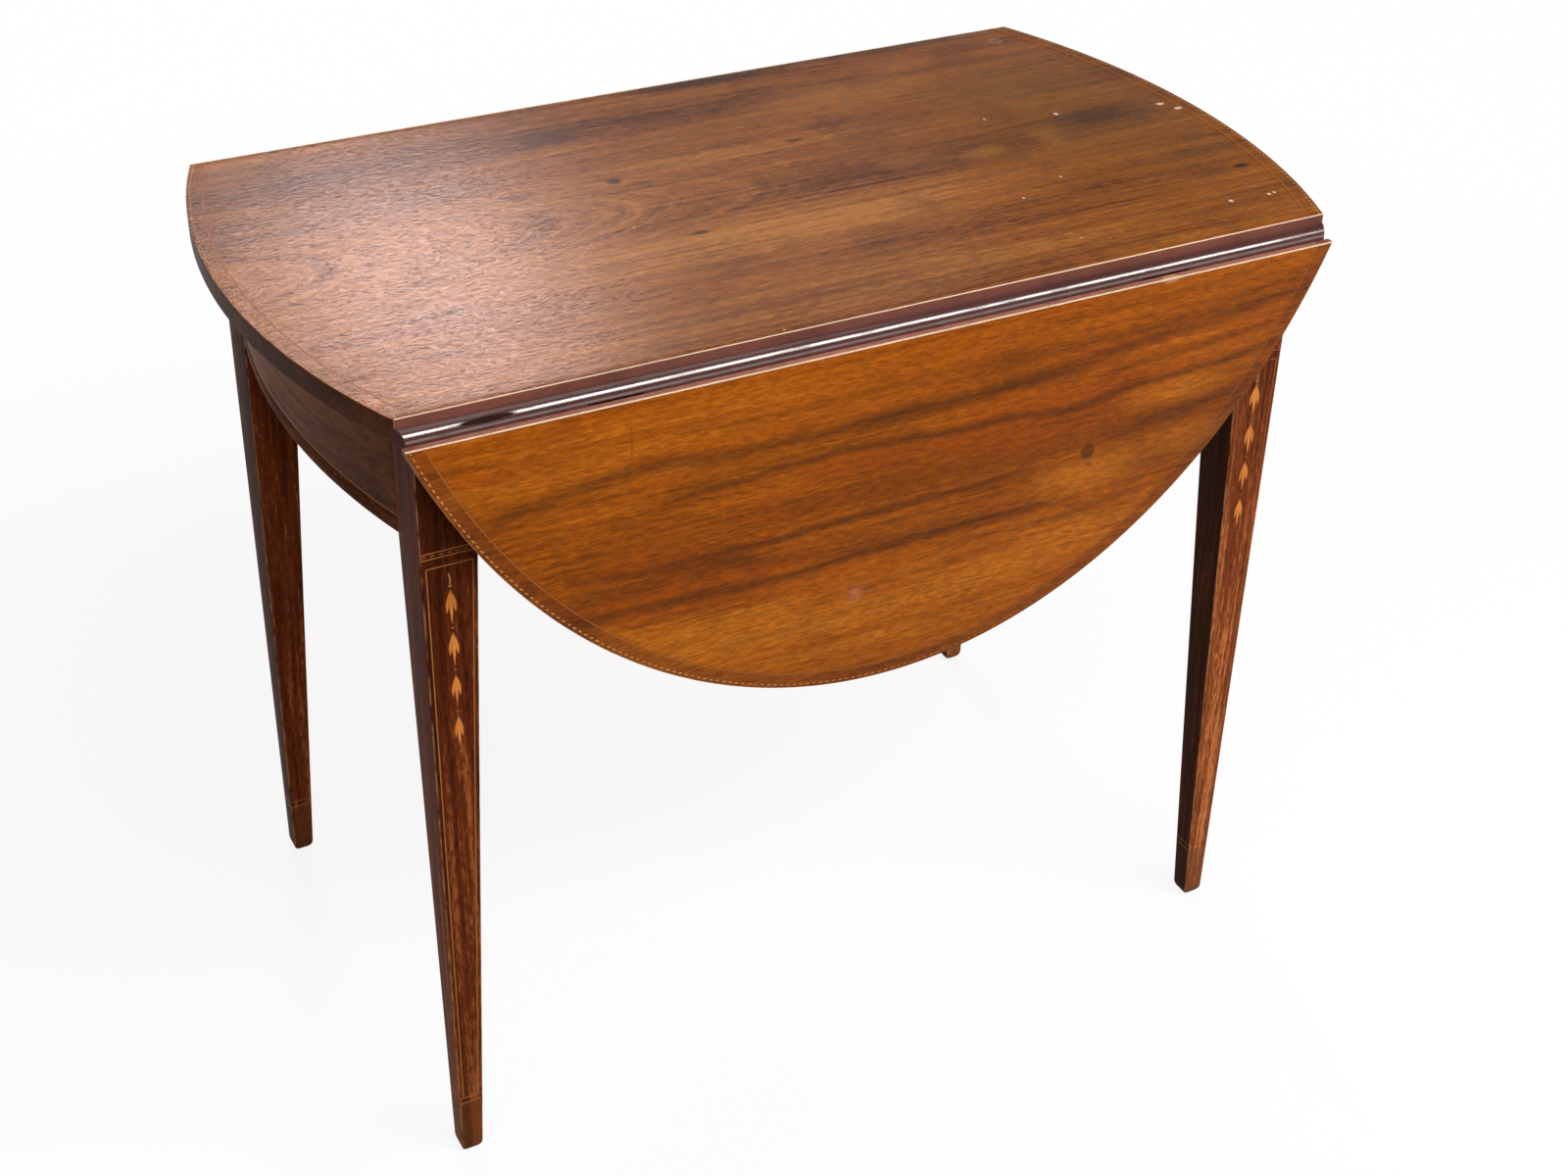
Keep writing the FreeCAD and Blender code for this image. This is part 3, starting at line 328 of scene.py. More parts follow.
@made_once
def wood_figure(name):
    """Grain along X: broad tone, swaying lines, dark streaks in patches, mottle and open pores."""
    w, source, sink = shader_group(
        name,
        [*((label, "Color", BLACK) for label in ("Dark", "Mid", "Light", "Streak")),
         ("Streak Amount", "Float", 0.5), ("Mottle", "Float", 0.5), ("Lines", "Float", 0.5)],
        [("Color", "Color"), ("Height", "Float"), ("Polish", "Float")])
    place = source["Vector"]
    shift = w.times(w.minus(w.noise(place, (1.4, 6, 6)), 0.5), 0.035)
    lines = w.vector("ADD", place, w.joined(0.0, shift, shift))
    broad = w.noise(lines, (1.1, 9, 9), 3)
    fine = w.noise(lines, (3.5, 190, 190), 3)
    mottle = w.noise(place, (90, 620, 620), 4, 0.6)
    pores = w.step(w.noise(place, (170, 2000, 2000), 1), 0.56, 0.7)
    flecks = w.times(w.minus(mottle, 0.5), source["Mottle"])
    lined = w.times(w.minus(fine, broad), source["Lines"])
    tone = w.plus(w.plus(broad, lined), flecks)
    colour_out = w.mix(w.step(tone, 0.36, 0.5), source["Dark"], source["Mid"])
    colour_out = w.mix(w.step(tone, 0.5, 0.64), colour_out, source["Light"])
    bands = w.step(w.noise(lines, (0.8, 40, 40), 4, 0.6), 0.48, 0.7)
    patches = w.step(w.noise(place, (1.8, 6, 6), 1), 0.4, 0.62)
    streaks = w.times(w.times(bands, patches), source["Streak Amount"])
    colour_out = w.mix(streaks, colour_out, source["Streak"])
    colour_out = w.mix(w.times(pores, 0.35), colour_out, source["Dark"])
    w.set(sink["Color"], colour_out)
    w.set(sink["Height"], w.minus(w.times(mottle, 0.6), pores))
    w.set(sink["Polish"], w.plus(w.times(broad, 0.6), w.times(mottle, 0.4)))
    return w.tree


@made_once
def handling_wear(name):
    """Small pale nicks, hairline scratches and rubbed edges over a colour."""
    w, source, sink = shader_group(
        name,
        [("Color", "Color", BLACK), ("Wear", "Color", WHITE), ("Grime", "Color", BLACK), ("Edge", "Float", 0),
         ("Nicks", "Float", 0.1), ("Scratches", "Float", 0.2), ("Dirt", "Float", 0.2)],
        [("Color", "Color"), ("Dullness", "Float")])
    place = source["Vector"]
    clouds = w.noise(place, (14, 14, 14), 4, 0.6)
    dirt = w.times(w.step(clouds, 0.5, 0.75), source["Dirt"])
    colour_out = w.mix(dirt, source["Color"], source["Grime"])
    cells = w.add("ShaderNodeTexVoronoi", {"Vector": place, "Scale": 42.0, "Randomness": 1.0})
    spot = w.rest(w.step(cells.outputs["Distance"], 0.03, 0.075))
    draw = w.add("ShaderNodeSeparateColor", {0: cells.outputs["Color"]}).outputs[0]
    nicks = w.times(spot, w.math("LESS_THAN", draw, source["Nicks"]))
    turned = w.add("ShaderNodeMapping", {"Vector": place, "Rotation": (0.3, 0.5, 0.45)}).outputs[0]
    hair = w.step(w.noise(turned, (9, 700, 700), 1), 0.7, 0.78)
    scratches = w.times(w.times(hair, source["Scratches"]), w.step(clouds, 0.45, 0.6))
    rubbed = w.times(source["Edge"], w.step(w.noise(place, (60, 60, 60), 3), 0.36, 0.62))
    marks = w.larger(w.times(nicks, 0.8), w.times(rubbed, 0.6))
    marks = w.larger(marks, scratches)
    w.set(sink["Color"], w.mix(marks, colour_out, source["Wear"]))
    w.set(sink["Dullness"], w.larger(marks, dirt))
    return w.tree


@made_once
def soft_mark(name):
    """Mask of one ragged oval mark, such as a stain, a streak, a plug or a bloom."""
    w, source, sink = shader_group(
        name,
        [("Centre", "Vector", (0, 0, 0)), ("Half Size", "Vector", (1, 1, 1)), ("Softness", "Float", 0.5),
         ("Raggedness", "Float", 0.3)],
        [("Mask", "Float")])
    place = source["Vector"]
    away = w.vector("DIVIDE", w.vector("SUBTRACT", place, source["Centre"]), source["Half Size"])
    ragged = w.minus(w.noise(place, (26, 90, 90), 3, 0.6), 0.5)
    reach = w.math("MULTIPLY_ADD", ragged, source["Raggedness"], w.vector("LENGTH", away))
    w.set(sink["Mask"], w.rest(w.step(reach, w.rest(source["Softness"]), 1.0)))
    return w.tree


@made_once
def ribbon_stripe(name):
    """Mask of one soft ribbon of dark figure along a centre line, fading out at both ends."""
    w, source, sink = shader_group(
        name,
        [("Centre Line", "Float", 0), ("Half Height", "Float", 0.01), ("Start", "Float", -1),
         ("Finish", "Float", 1)],
        [("Mask", "Float")])
    place = source["Vector"]
    along, height = w.parts(place)[:2]
    wave = w.times(w.minus(w.noise(place, (16, 24, 1), 3), 0.5), 0.011)
    off = w.plus(w.minus(height, source["Centre Line"]), wave)
    swell = w.times(source["Half Height"], w.between(w.noise(place, (12, 3, 1), 2), 0.55, 1.45))
    core = w.rest(w.step(w.size(w.math("DIVIDE", off, swell)), 0.0, 1.0))
    rise = w.step(along, w.minus(source["Start"], 0.03), w.plus(source["Start"], 0.04))
    fall = w.step(along, w.minus(source["Finish"], 0.04), w.plus(source["Finish"], 0.03))
    ends = w.times(rise, w.rest(fall))
    threads = w.between(w.step(w.noise(place, (12, 260, 1), 3), 0.35, 0.65), 0.75, 1.0)
    w.set(sink["Mask"], w.times(w.times(core, ends), threads))
    return w.tree


def mark_mask(w, place, centre, half_size, softness, raggedness):
    """Mask of one mark at a place."""
    return w.group(soft_mark(), Vector=place, Centre=centre, Half_Size=half_size, Softness=softness,
                   Raggedness=raggedness)["Mask"]


# The field that the centre lines are drawn on: its width, its lower edge and its height
FIELD_WIDTH, FIELD_BASE, FIELD_HEIGHT = 0.9, 0.4, 0.4


def centre_line(w, along, points):
    """Height of a line drawn smoothly through a few (x, z) points in millimetres."""
    node = w.add("ShaderNodeFloatCurve", {"Value": w.plus(w.math("DIVIDE", along, FIELD_WIDTH), 0.5)})
    knots = node.mapping.curves[0].points
    spots = [(x * MM / FIELD_WIDTH + 0.5, (z * MM - FIELD_BASE) / FIELD_HEIGHT) for x, z in points]
    knots[0].location, knots[1].location = spots[0], spots[-1]
    for spot in spots[1:-1]:
        knots.new(*spot)
    node.mapping.update()
    return w.plus(w.times(node.outputs[0], FIELD_HEIGHT), FIELD_BASE)


# Turns that lay a piece's long grain on the figure's X axis
GRAIN = {"X": (0, 0, 0), "Y": (0, 0, -math.pi / 2), "Z": (0, math.pi / 2, 0)}


def empty_tree(owner):
    """Wiring for the node tree of a material or a world, cleared first."""
    owner.use_nodes = True
    owner.node_tree.nodes.clear()
    return Wiring(owner.node_tree)


def new_material(name):
    """A node material, its wiring and its Principled shader, joined to the output."""
    material = bpy.data.materials.new("finish_" + name)
    w = empty_tree(material)
    shader = w.add("ShaderNodeBsdfPrincipled")
    w.add("ShaderNodeOutputMaterial", {0: shader.outputs[0]})
    return material, w, shader


# Thick old polish, as a coat, and the depths of the pores and of the polish's ripples
COAT_ROUGHNESS, COAT_IOR = 0.15, 2.2
PORE_DEPTH, RIPPLE_DEPTH = 0.4 * MM, 1.0 * MM


def polished_wood(name, grain, tones, streak, mottle, gloss, specular, nicks, scratches, dirt, lines=0.5,
                  drift=(0, 0, 0), marks=(), bump=0.2, ripple=0.3, painted_ripple_glint=0.0, shade=None, lacquer=None):
    """A finished wood. Marks are (centre, half size, softness, raggedness, colour, amount)."""
    c = colours()
    material, w, shader = new_material(name)
    place = w.place()
    laid = w.add("ShaderNodeMapping", {"Vector": place, "Rotation": GRAIN[grain],
                                       "Location": drift}).outputs[0]
    dark, mid, light, streak_tone = tones
    figure = w.group(wood_figure(), Vector=laid, Dark=dark, Mid=mid, Light=light, Streak=streak_tone,
                     Streak_Amount=streak, Mottle=mottle, Lines=lines)
    tone = figure["Color"]
    if shade:
        tone = shade(w, place, tone)
    for *shape, paint, amount in marks:
        tone = w.paint(tone, paint, mark_mask(w, place, *shape), amount)
    # Old polish lies in small ripples: their glints are painted pale on their backs and their shade painted
    # dark between them
    polish_skin = w.noise(laid, (95, 330, 330), 4, 0.68)
    if painted_ripple_glint:
        level = w.between(w.step(polish_skin, 0.3, 0.7), 1.0 - painted_ripple_glint, 1.0 + painted_ripple_glint)
        tone = w.scaled(tone, level)
    worn = w.group(handling_wear(), Vector=laid, Color=tone, Wear=c.wear, Grime=c.grime,
                   Edge=w.attribute("arris"), Nicks=nicks, Scratches=scratches, Dirt=dirt)
    w.set(shader.inputs["Base Color"], worn["Color"])
    polish = w.between(figure["Polish"], *gloss)
    w.set(shader.inputs["Roughness"], w.plus(polish, w.times(worn["Dullness"], 0.12)))
    shader.inputs["Specular IOR Level"].default_value = specular
    if lacquer:
        w.set(shader.inputs["Coat Weight"], lacquer(w, place))
        shader.inputs["Coat Roughness"].default_value = COAT_ROUGHNESS
        shader.inputs["Coat IOR"].default_value = COAT_IOR
    relief = w.add("ShaderNodeBump", {"Strength": bump, "Distance": PORE_DEPTH, "Height": figure["Height"]})
    skin_relief = w.add("ShaderNodeBump", {"Strength": ripple, "Distance": RIPPLE_DEPTH,
                                           "Height": polish_skin, "Normal": relief.outputs[0]})
    w.set(shader.inputs["Normal"], skin_relief.outputs[0])
    return material


def sizes():
    """The table's sizes and those of its inlay."""
    scene = bpy.context.scene
    return scene.table_sizes, scene.table_inlay


def colours():
    """The table's colours."""
    return bpy.context.scene.table_colours


def tones(wood):
    """Dark, middle, light and streak tones of a mahogany. Without a streak tone the dark one serves."""
    c = colours()
    streak = wood + ("_streak" if hasattr(c, wood + "_streak") else "_dark")
    return [getattr(c, name) for name in (wood + "_dark", wood + "_mid", wood + "_light", streak)]


def oval_band(inset, axis, half_width_at_zero, direction, amount, paint):
    """A shading step that darkens the band between the string and the outline."""
    s = sizes()[0]

    def shade(w, place, tone):
        parts = w.parts(place)
        across = w.math("MULTIPLY_ADD", parts[axis], direction, half_width_at_zero)
        along = w.math("POWER", w.math("DIVIDE", parts[0], s.half_length - inset), 2.0)
        out = w.math("POWER", w.math("DIVIDE", across, s.half_width - inset), 2.0)
        return w.paint(tone, paint, w.step(w.plus(along, out), 0.985, 1.012), amount)
    return shade


# Marks on the top and the front leaf: two places along the face, two half sizes, softness,
# raggedness, colour and amount
TOP_MARKS = (
    (0.34, 0.02, 0.25, 0.3, 0.95, 0.5, "top_olive", 0.5),
    (0.09, 0.248, 0.15, 0.03, 0.5, 0.5, "grime", 0.7),
    (0.27, 0.25, 0.15, 0.03, 0.5, 0.5, "grime", 0.7),
    (0.05, 0.23, 0.09, 0.012, 0.7, 0.8, "grime", 0.5),
    (-0.11, 0.172, 0.06, 0.022, 0.95, 1.0, "grime", 0.6),
    (-0.02, 0.176, 0.07, 0.012, 0.95, 1.0, "grime", 0.4),
    (-0.3, 0.17, 0.09, 0.03, 0.95, 1.0, "grime", 0.3),
    (-0.24, 0.1, 0.13, 0.024, 0.95, 1.0, "grime", 0.45),
    (-0.18, 0.066, 0.02, 0.012, 0.9, 0.9, "grime", 0.6),
    (-0.095, 0.062, 0.009, 0.007, 0.6, 0.5, "grime", 0.85),
    (-0.075, 0.05, 0.016, 0.006, 0.8, 0.6, "grime", 0.5),
    (0.08, 0.076, 0.012, 0.006, 0.8, 0.8, "grime", 0.7),
    (0.16, 0.068, 0.075, 0.03, 0.95, 1.1, "grime", 0.3),
    (0.15, 0.03, 0.1, 0.04, 0.95, 1.1, "top_dark", 0.25),
    (0.3, 0.1, 0.1, 0.07, 0.95, 0.8, "top_olive", 0.6),
    (0.35, 0.012, 0.075, 0.035, 0.95, 1.0, "grime", 0.65),
    (0.212, -0.014, 0.042, 0.018, 0.9, 1.0, "top_light", 0.45),
    (0.29, -0.012, 0.03, 0.03, 0.8, 1.0, "top_light", 0.3),
    (0.3, -0.014, 0.02, 0.022, 0.8, 0.9, "grime", 0.35),
    (0.25, 0.195, 0.05, 0.03, 0.95, 0.9, "top_light", 0.25),
    (0.16, 0.155, 0.13, 0.05, 0.95, 0.9, "top_light", 0.4),
    (-0.25, 0.145, 0.15, 0.06, 0.95, 0.9, "top_dark", 0.45),
    (0.15, -0.004, 0.06, 0.03, 0.95, 0.9, "top_light", 0.3),
    (-0.075, -0.058, 0.012, 0.0045, 0.7, 0.5, "grime", 0.8),
    (-0.31, -0.105, 0.07, 0.012, 0.95, 1.0, "grime", 0.55),
    (-0.33, -0.165, 0.05, 0.008, 0.95, 1.0, "grime", 0.5),
    (0.395, -0.131, 0.011, 0.0045, 0.6, 0.4, "grime", 0.95),
    (0.36, -0.128, 0.035, 0.016, 0.95, 0.6, "top_dark", 0.5),
    (0.415, 0.013, 0.0045, 0.003, 0.4, 0.5, "speck", 1.0),
    (0.424, -0.002, 0.005, 0.0032, 0.4, 0.5, "speck", 1.0),
    (0.317, 0.032, 0.0026, 0.0032, 0.4, 0.3, "speck", 1.0),
    (0.253, 0.048, 0.0018, 0.0018, 0.4, 0.3, "speck", 0.9),
    (0.343, -0.187, 0.0025, 0.0028, 0.4, 0.3, "speck", 1.0),
    (0.38, -0.189, 0.0022, 0.0022, 0.4, 0.3, "speck", 1.0),
    (0.386, -0.188, 0.0016, 0.0025, 0.4, 0.3, "speck", 1.0),
    (0.244, -0.086, 0.0018, 0.0016, 0.4, 0.3, "speck", 0.9),
    (0.192, -0.11, 0.0016, 0.0016, 0.4, 0.3, "speck", 0.9),
    (0.365, 0.209, 0.009, 0.009, 0.6, 0.5, "speck", 0.18),
    (0.365, 0.209, 0.006, 0.006, 0.5, 0.3, "top_dark", 0.5),
)
LEAF_MARKS = (
    (0.17, 0.535, 0.08, 0.026, 0.9, 0.6, "leaf_light", 0.8),
    (0.265, 0.545, 0.07, 0.025, 0.95, 0.6, "leaf_light", 0.45),
    (0.255, 0.592, 0.08, 0.018, 0.9, 0.6, "leaf_light", 0.7),
    (0.08, 0.652, 0.08, 0.02, 0.9, 0.6, "leaf_dark", 0.7),
    (0.172, 0.555, 0.0075, 0.0075, 0.25, 0.2, "grime", 0.6),
    (0.175, 0.542, 0.004, 0.003, 0.5, 0.3, "leaf_dark", 0.7),
    (-0.038, 0.479, 0.012, 0.012, 0.95, 0.4, "wear", 0.35),
    (-0.227, 0.66, 0.0012, 0.024, 0.7, 0.2, "leaf_dark", 0.6),
    (0.236, 0.693, 0.009, 0.0035, 0.4, 0.6, "wear", 0.9),
)
MARK_DEPTH = 30 * MM


def top_finish(name):
    """Reddish-brown top with clouded figure, old stains and a dark strip along the far joint."""
    s, inlay = sizes()
    c = colours()
    z = s.table_height
    marks = [((x, y, z), (a, b, MARK_DEPTH), softness, ragged, getattr(c, paint), amount)
             for x, y, a, b, softness, ragged, paint, amount in TOP_MARKS]
    band = oval_band(inlay.string_inset, 1, 0.0, 1.0, 0.12, c.top_dark)

    def shade(w, place, tone):
        parts = w.parts(place)
        # A flame of growth rings: nested arches with their tips to the right
        arch = w.math("POWER", w.size(w.minus(parts[1], 0.008)), 2.0)
        rings = w.math("MULTIPLY_ADD", arch, 34.0, parts[0])
        wander = w.times(w.noise(place, (9, 16, 1), 3, 0.6), 0.09)
        flame = w.noise(w.joined(w.plus(rings, wander)), (40, 1, 1), 5, 0.7)
        zone = mark_mask(w, place, (-0.3, 0.0, z), (0.46, 0.14, 0.2), 0.7, 0.5)
        tone = w.paint(tone, c.top_light, w.step(flame, 0.46, 0.62), w.times(zone, 0.7))
        tone = w.paint(tone, c.top_dark, w.rest(w.step(flame, 0.36, 0.48)), w.times(zone, 0.6))
        # Dark threads along the grain all over
        threads = w.step(w.noise(place, (5, 260, 1), 3, 0.6), 0.54, 0.68)
        tone = w.paint(tone, c.top_streak, threads, 0.4)
        # More golden towards the right-hand end
        right = w.step(parts[0], 0.02, 0.36)
        tone = w.mix(right, tone, w.scaled(tone, (1.08, 0.92, 0.5)))
        return band(w, place, tone)

    return polished_wood(name, "X", tones("top"), streak=0.5, mottle=0.4, gloss=(0.16, 0.32),
                         specular=0.3, marks=marks, nicks=0.06, scratches=0.25, dirt=0.35, bump=0.5,
                         ripple=0.28, lines=0.35, painted_ripple_glint=0.15, shade=shade)


def edge_finish(name):
    """Edges of the top: dull ends, a reddish fillet and a dark ovolo with thick old polish."""
    s, c = sizes()[0], colours()
    # A bruise on the rule joint near the left end, which took the polish with it
    middle = (-0.331, -s.joint_half_width - 0.77 * s.ovolo_radius, s.pin_height + 0.6 * s.ovolo_radius)
    bruise = (middle, (0.027, 0.0024, 0.0024), 0.3, 0.4)

    def joint_zone(w, place):
        """Beyond the face's long edges, and the share of that below the fillet."""
        parts = w.parts(place)
        outside = w.step(w.size(parts[1]), s.joint_half_width - 0.6 * MM, s.joint_half_width - 0.2 * MM)
        fillet = s.pin_height + s.ovolo_radius
        below = w.rest(w.step(parts[2], fillet - 0.4 * MM, fillet + 0.4 * MM))
        return outside, w.times(outside, below)

    def shade(w, place, tone):
        outside, ovolo = joint_zone(w, place)
        tone = w.paint(tone, c.grime, w.attribute("dull"), 0.45)
        tone = w.paint(tone, c.fillet, outside, 0.7)
        return w.paint(tone, c.moulding, ovolo, 0.85)

    def lacquer(w, place):
        """Polish left on the moulding, worn through in spots."""
        worn = w.between(w.step(w.noise(place, (40, 300, 300), 4, 0.6), 0.34, 0.5), 0.5, 1.0)
        lost = w.larger(w.attribute("dull"), mark_mask(w, place, *bruise))
        return w.times(joint_zone(w, place)[1], w.times(worn, w.rest(lost)))

    return polished_wood(name, "X", tones("rail"), streak=0.4, mottle=0.5, gloss=(0.3, 0.5),
                         specular=0.02, marks=[(*bruise, c.grime, 0.95)], nicks=0.05, scratches=0.2,
                         dirt=0.3, shade=shade, lacquer=lacquer)


# Ribbons of dark figure in the leaves: points along the centre line in mm, half height in mm, amount
LEAF_RIBBONS = (
    (((-400, 671), (-360, 670), (-320, 667)), 3.5, 0.7),
    (((-350, 622), (-280, 630), (-205, 638), (-160, 633), (-66, 630), (20, 632), (90, 632), (150, 636),
      (234, 645), (309, 652), (390, 659)), 8, 0.9),
    (((-40, 628), (30, 630), (110, 631), (150, 634)), 9, 0.7),
    (((-345, 614), (-290, 618), (-220, 621)), 4, 0.5),
    (((-210, 603), (-140, 606), (-60, 611), (9, 606), (84, 603), (150, 600), (220, 604), (309, 611),
      (360, 615)), 5.5, 1.0),
    (((-220, 611), (-150, 614), (-60, 618), (0, 615)), 6, 0.5),
    (((60, 657), (159, 652), (234, 655), (309, 664), (390, 672)), 5, 0.5),
    (((180, 622), (250, 626), (300, 630), (370, 637)), 5, 0.6),
    (((-330, 590), (-250, 592), (-180, 588)), 4, 0.35),
    (((-300, 572), (-250, 574), (-200, 571)), 4, 0.45),
    (((110, 590), (170, 590), (240, 593), (300, 598)), 3.5, 0.5),
    (((200, 566), (260, 572), (330, 581)), 8, 0.85),
    (((-280, 553), (-210, 551), (-140, 548), (-66, 550), (9, 551), (70, 550), (120, 556)), 4.5, 0.9),
    (((-290, 537), (-230, 538), (-160, 537), (-100, 532)), 9, 0.75),
    (((-300, 521), (-200, 517), (-120, 513), (-66, 515), (9, 517), (84, 516), (150, 519)), 6, 1.0),
    (((-130, 531), (-80, 529), (0, 527)), 8, 0.45),
    (((190, 530), (240, 536), (300, 546)), 9, 0.5),
    (((40, 503), (140, 500), (190, 503), (250, 508)), 4.5, 0.6),
    (((-230, 505), (-180, 503), (-120, 504)), 4, 0.4),
    (((-60, 481), (20, 484), (120, 488)), 3.5, 0.35),
    (((-160, 462), (-60, 464), (60, 466)), 4, 0.3),
    (((100, 684), (200, 680), (300, 684), (390, 690)), 4, 0.35),
    (((-200, 660), (-120, 655), (-40, 657), (30, 660)), 4, 0.4),
)
RIBBON_SPREAD, RIBBON_STRENGTH = 1.4, 0.75
BACK_LEAF_DRIFT = (0.7, 0.3, 0.2)


def leaf_finish(name, side):
    """Golden ribbon-striped leaf. The front one has its own plug, bloom and patches."""
    s, inlay = sizes()
    c = colours()
    face = SIDES[side] * (s.joint_half_width + s.table_height - s.pin_height)
    front = side == "front"
    marks = [((x, face, z), (a, MARK_DEPTH, b), softness, ragged, getattr(c, paint), amount)
             for x, z, a, b, softness, ragged, paint, amount in (LEAF_MARKS if front else ())]
    band = oval_band(inlay.string_inset, 2, s.joint_half_width + s.pin_height, -1.0, 0.45, c.leg_mid)

    def shade(w, place, tone):
        parts = w.parts(place)
        flat = w.joined(parts[0], parts[2])
        zones = w.noise(flat, (2.6, 13, 1), 3, 0.6)
        tone = w.paint(tone, c.leaf_red, w.step(zones, 0.5, 0.66), 0.55)
        threads = w.step(w.noise(flat, (9, 420, 1), 3, 0.6), 0.52, 0.7)
        tone = w.paint(tone, c.leaf_streak, threads, 0.35)
        for points, half_height, amount in LEAF_RIBBONS:
            stripe = w.group(ribbon_stripe(), Vector=flat, Centre_Line=centre_line(w, parts[0], points),
                             Half_Height=RIBBON_SPREAD * half_height * MM,
                             Start=points[0][0] * MM, Finish=points[-1][0] * MM)
            tone = w.paint(tone, c.leaf_streak, stripe["Mask"], RIBBON_STRENGTH * amount)
        # The rim, the cove and the lip have their own polish; the lip's paler tone is partly wear and partly
        # a painted sheen on its upward face
        rim = w.rest(w.step(w.size(parts[1]), abs(face) - 1.2 * MM, abs(face) - 0.6 * MM))
        tone = w.paint(tone, c.leg_mid, rim, 0.6)
        edge = s.pin_height - s.joint_gap
        tone = w.paint(tone, c.lip, w.step(parts[2], edge - 0.8 * MM, edge - 0.3 * MM), 0.8)
        return band(w, place, tone)

    return polished_wood(name, "X", tones("leaf"), streak=0.1, mottle=0.3, gloss=(0.3, 0.5),
                         specular=0.08, lines=0.3, drift=(0, 0, 0) if front else BACK_LEAF_DRIFT,
                         marks=marks, nicks=0.01, scratches=0.1, dirt=0.15, ripple=1.0, painted_ripple_glint=0.24,
                         shade=shade)


# Levels of the left-hand and the right-hand legs, and the painted light and shade on the faces of the far and
# the near legs
LEFT_LEGS_LEVEL, RIGHT_LEGS_LEVEL = (1.15, 1.15, 1.15), (2.2, 2.5, 2.8)
SIDE_FACE_PAINTED_LIGHT, END_FACE_PAINTED_LIGHT = (1.4, 1.0), (0.65, 1.35)


def leg_finish(name):
    """Dark red legs, darker still below the cuff lines."""
    s, inlay = sizes()
    c = colours()

    def shade(w, place, tone):
        along, across, height = w.parts(place)
        cuff = w.rest(w.step(height, inlay.cuff_height - MM, inlay.cuff_height + MM))
        tone = w.paint(tone, c.rail_mid, cuff, 0.6)
        # The right-hand legs are lighter than the left-hand ones
        tone = w.mix(w.step(along, -0.1, 0.1), w.scaled(tone, LEFT_LEGS_LEVEL),
                     w.scaled(tone, RIGHT_LEGS_LEVEL))
        # Painted light and shade by face: the near legs' end faces are painted lighter, the far legs' side
        # faces lighter and their end faces darker
        end_face = w.step(w.size(along), s.leg_outer_x - 0.9 * MM, s.leg_outer_x - 0.3 * MM)
        near = w.rest(w.step(across, -0.1, 0.1))
        level = w.between(end_face, w.between(near, *SIDE_FACE_PAINTED_LIGHT), w.between(near, *END_FACE_PAINTED_LIGHT))
        tone = w.scaled(tone, level)
        # Painted shade: the inner faces towards the next leg are darkened nearly to black
        return w.paint(tone, c.grime, w.attribute("dull"), 0.85)

    return polished_wood(name, "Z", tones("leg"), streak=0.45, mottle=0.4, gloss=(0.35, 0.55),
                         specular=0.012, nicks=0.05, scratches=0.15, dirt=0.35, shade=shade)


def rail_finish(name):
    """Dull brown aprons and drawer front, grain along the rail."""
    def shade(w, place, tone):
        # Painted sheen: paler towards the far leg
        far = w.step(w.parts(place)[1], -0.19, 0.1)
        return w.scaled(tone, w.between(far, 0.95, 1.75))

    return polished_wood(name, "Y", tones("rail"), streak=0.5, mottle=0.4, gloss=(0.35, 0.55),
                         specular=0.01, nicks=0.02, scratches=0.1, dirt=0.3, shade=shade)


# Dark, middle, light and streak levels of a wood with one colour
PLAIN_LEVELS = (0.7, 1.0, 1.3, 0.52)


def plain_wood(name, base, grain):
    """An unpolished inner wood."""
    flat = getattr(colours(), base)[:3]
    levels = [tuple(min(1.0, v * level) for v in flat) + (1,) for level in PLAIN_LEVELS]
    return polished_wood(name, grain, levels, streak=0.4, mottle=0.5, gloss=(0.6, 0.8), specular=0.2,
                         nicks=0.02, scratches=0.25, dirt=0.5, bump=0.35)


def boxwood_finish(name, base, stain=0.0, aged=0.4):
    """Pale inlay, yellowed by old polish and scorched where the mesh says so."""
    c = colours()
    material, w, shader = new_material(name)
    place = w.place()
    old = w.step(w.noise(place, (30, 30, 30), 3, 0.6), 0.42, 0.7)
    fibre = w.noise(place, (500, 500, 90), 2)
    tone = w.paint(getattr(c, base), c.boxwood_burnt, old, aged)
    tone = w.paint(tone, c.boxwood_burnt, w.step(fibre, 0.5, 0.7), 0.3)
    tone = w.mix(w.larger(w.attribute("scorch"), stain), tone, c.boxwood_burnt)
    w.set(shader.inputs["Base Color"], tone)
    w.set(shader.inputs["Roughness"], w.between(fibre, 0.25, 0.5))
    shader.inputs["Specular IOR Level"].default_value = 0.05
    return material


def metal_finish(name, base, roughness, metallic, stained):
    """Worn metal with stain in clouds and a rougher skin there."""
    c = colours()
    material, w, shader = new_material(name)
    place = w.place()
    clouds = w.step(w.noise(place, (160, 160, 160), 4, 0.65), 0.45, 0.68)
    specks = w.noise(place, (1400, 1400, 1400), 2)
    rust = w.times(clouds, stained)
    w.set(shader.inputs["Base Color"], w.mix(rust, getattr(c, base), c.rust))
    w.set(shader.inputs["Metallic"], w.between(rust, metallic, 0.2))
    w.set(shader.inputs["Roughness"], w.between(w.larger(rust, w.times(specks, 0.3)), *roughness))
    relief = w.add("ShaderNodeBump", {"Strength": 0.3, "Distance": 0.2 * MM, "Height": specks})
    w.set(shader.inputs["Normal"], relief.outputs[0])
    return material


